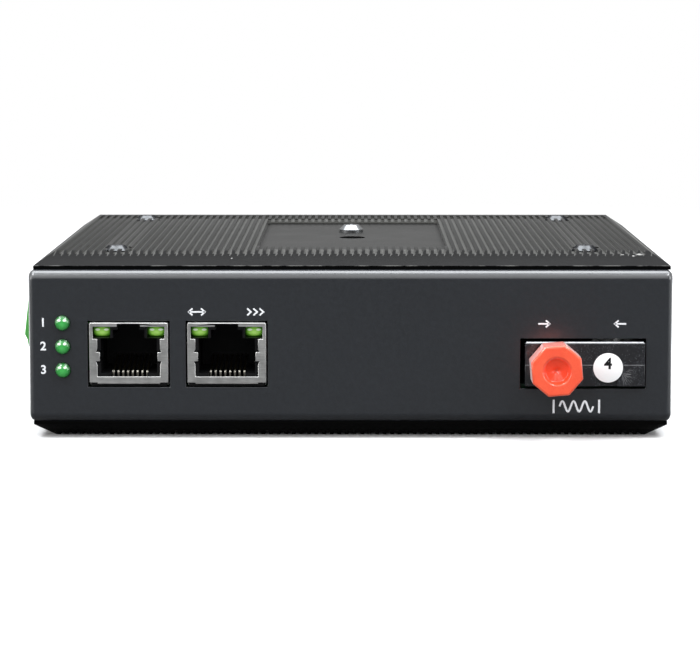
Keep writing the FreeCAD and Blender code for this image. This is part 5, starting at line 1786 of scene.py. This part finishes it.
@dataclass
class RailClip(Assembly):
    """Bracket, latch and spring behind the rear panel."""

    wearing: Wearing = (
        (PlainMetal("clip_metal", (0.46, 0.47, 0.48), 0.38, 0.8), ("rail_bracket",)),
        (Moulded("latch_plastic", (0.022, 0.022, 0.024), (0.035, 0.035, 0.038), 0.45), ("rail_latch",)),
        (PlainMetal("spring_steel", (0.45, 0.45, 0.46), 0.3), ("latch_spring",)),
        (SMALL_STEEL, ("bracket_screws",)),
    )


# ---------------------------------------------------------------- studio
@dataclass(frozen=True)
class Lamp:
    """A soft rectangular lamp that points at the object."""

    name: str
    place: Triple
    width: float
    height: float
    power: float
    colour: Colour = WHITE

    def hang(self, target: Vector) -> None:
        """Make the lamp.

        Args:
            target: What it points at.
        """
        data = bpy.data.lights.new(self.name, "AREA")
        data.shape = "RECTANGLE"
        data.size, data.size_y = self.width, self.height
        data.energy = self.power
        data.color = self.colour
        lamp = linked(self.name, data)
        lamp.location = self.place
        lamp.rotation_mode = "QUATERNION"
        lamp.rotation_quaternion = (target - lamp.location).to_track_quat("-Z", "Y")


@dataclass
class Studio:
    """Pale floor, white backdrop, soft lamps and the camera."""

    camera_place: Triple = (1.6, -536.2, 70.9)
    camera_tilt: float = 7.05
    camera_turn: float = 0.18
    focal_length: float = 132.1
    sensor_width: float = 36.0
    clip: Pair = (0.01, 50.0)
    ambient: float = 0.58
    front_tone: float = 0.06
    pale_depth: Pair = (-0.3, 0.95)
    pale_aside: Pair = (0.45, 0.85)
    floor_reach: float = 3.0
    floor_fade: Pair = (230.0, 620.0)
    floor_front: Pair = (-60.0, 30.0)
    floor_bounce: float = 0.25
    floor_cloud: float = 60.0
    floor_tones: tuple[Colour, Colour] = ((0.90, 0.90, 0.90), (0.92, 0.92, 0.92))
    lamps: tuple[Lamp, ...] = (
        Lamp("top_left", (-0.44, -0.38, 0.80), 0.34, 0.24, 3.2, (0.96, 0.98, 1.0)),
        Lamp("top_right", (0.44, -0.38, 0.80), 0.34, 0.24, 3.2, (0.96, 0.98, 1.0)),
        Lamp("overhead", (0.0, 0.10, 0.95), 1.4, 0.60, 13.0, (0.94, 0.965, 1.0)),
        Lamp("front_fill", (-0.2, -1.25, 1.30), 2.2, 2.0, 15.5),
        Lamp("left_side", (-1.35, -0.6, 0.35), 0.5, 0.8, 3.6, (1.0, 0.99, 0.97)),
        Lamp("right_side", (1.35, -0.6, 0.35), 0.5, 0.8, 4.2, (0.93, 0.97, 1.0)),
    )

    def build(self) -> None:
        """Set up everything round the object."""
        middle = middle_of("body_frame")
        self.backdrop()
        self.floor()
        for lamp in self.lamps:
            lamp.hang(middle)
        self.camera(Vector((middle.x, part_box("body_frame")[0].y, middle.z)))
        bpy.context.scene.view_settings.view_transform = "Standard"

    def camera(self, panel: Vector) -> None:
        """Stand the camera in front of the port panel.

        Args:
            panel: Middle of the port panel.
        """
        data = bpy.data.cameras.new("camera")
        data.lens = self.focal_length
        data.sensor_width = self.sensor_width
        data.clip_start, data.clip_end = self.clip
        camera = linked("camera", data)
        camera.location = panel + Vector(self.camera_place) * MM
        camera.rotation_euler = (math.radians(90.0 - self.camera_tilt), 0.0, math.radians(self.camera_turn))
        bpy.context.scene.camera = camera

    def floor(self) -> None:
        """Lay a pale floor that fades into the backdrop for the camera."""
        mesh = bpy.data.meshes.new("floor")
        reach = self.floor_reach
        corners = [(x * reach, y * reach, 0.0) for x, y in ((-1, -1), (1, -1), (1, 1), (-1, 1))]
        mesh.from_pydata(corners, [], [(0, 1, 2, 3)])
        floor = linked("floor", mesh)
        shading = Shading("floor_paper")
        path = shading.add("ShaderNodeLightPath")
        fade = shading.distance(shading.x, shading.y).above(*self.floor_fade) * path["Is Camera Ray"]
        tone = shading.blend(shading.noise(self.floor_cloud), *self.floor_tones)
        front = shading.y.below(*self.floor_front) * path["Is Glossy Ray"]
        tone = shading.blend(front, tone, (self.front_tone,) * 3)
        tone = shading.blend(path["Is Diffuse Ray"], tone, (self.floor_bounce,) * 3)
        paper = shading.add("ShaderNodeBsdfDiffuse", {"Color": tone})["BSDF"]
        clear = shading.add("ShaderNodeBsdfTransparent")["BSDF"]
        mixed = shading.add("ShaderNodeMixShader", {"Fac": fade, 1: paper, 2: clear})["Shader"]
        shading.add("ShaderNodeOutputMaterial", {"Surface": mixed})
        mesh.materials.append(shading.material)

    def backdrop(self) -> None:
        """White behind the object for the camera and for gloss, grey in front, soft for plain light."""
        world = bpy.data.worlds.new("backdrop")
        world.use_nodes = True
        bpy.context.scene.world = world
        graph = Graph(world.node_tree)
        graph.tree.nodes.clear()
        direction = graph.add("ShaderNodeTexCoord")["Generated"]
        split = graph.add("ShaderNodeSeparateXYZ", {"Vector": direction})
        path = graph.add("ShaderNodeLightPath")
        gloss = graph.larger(path["Is Glossy Ray"], path["Is Transmission Ray"])
        pale = graph.larger(split["Y"].above(*self.pale_depth), abs(split["X"]).above(*self.pale_aside))
        strength = self.ambient + (pale.at_least(self.front_tone) - self.ambient) * gloss
        strength = strength + (1.0 - strength) * path["Is Camera Ray"]
        light = graph.add("ShaderNodeBackground", {"Color": (1, 1, 1, 1), "Strength": strength})
        graph.add("ShaderNodeOutputWorld", {"Surface": light["Background"]})


def main() -> None:
    """Build the converter and its studio."""
    logging.basicConfig(level=logging.INFO, format="%(message)s")
    shop = Workshop(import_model())
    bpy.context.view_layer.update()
    assemblies = (
        Enclosure(), PanelPrint(), CopperPorts(), StatusLamps(), FibrePort(), PowerTerminals(), CircuitBoard(),
        RailClip(),
    )
    for assembly in assemblies:
        assembly.build(shop)
    Studio().build()


if __name__ == "__main__":
    main()
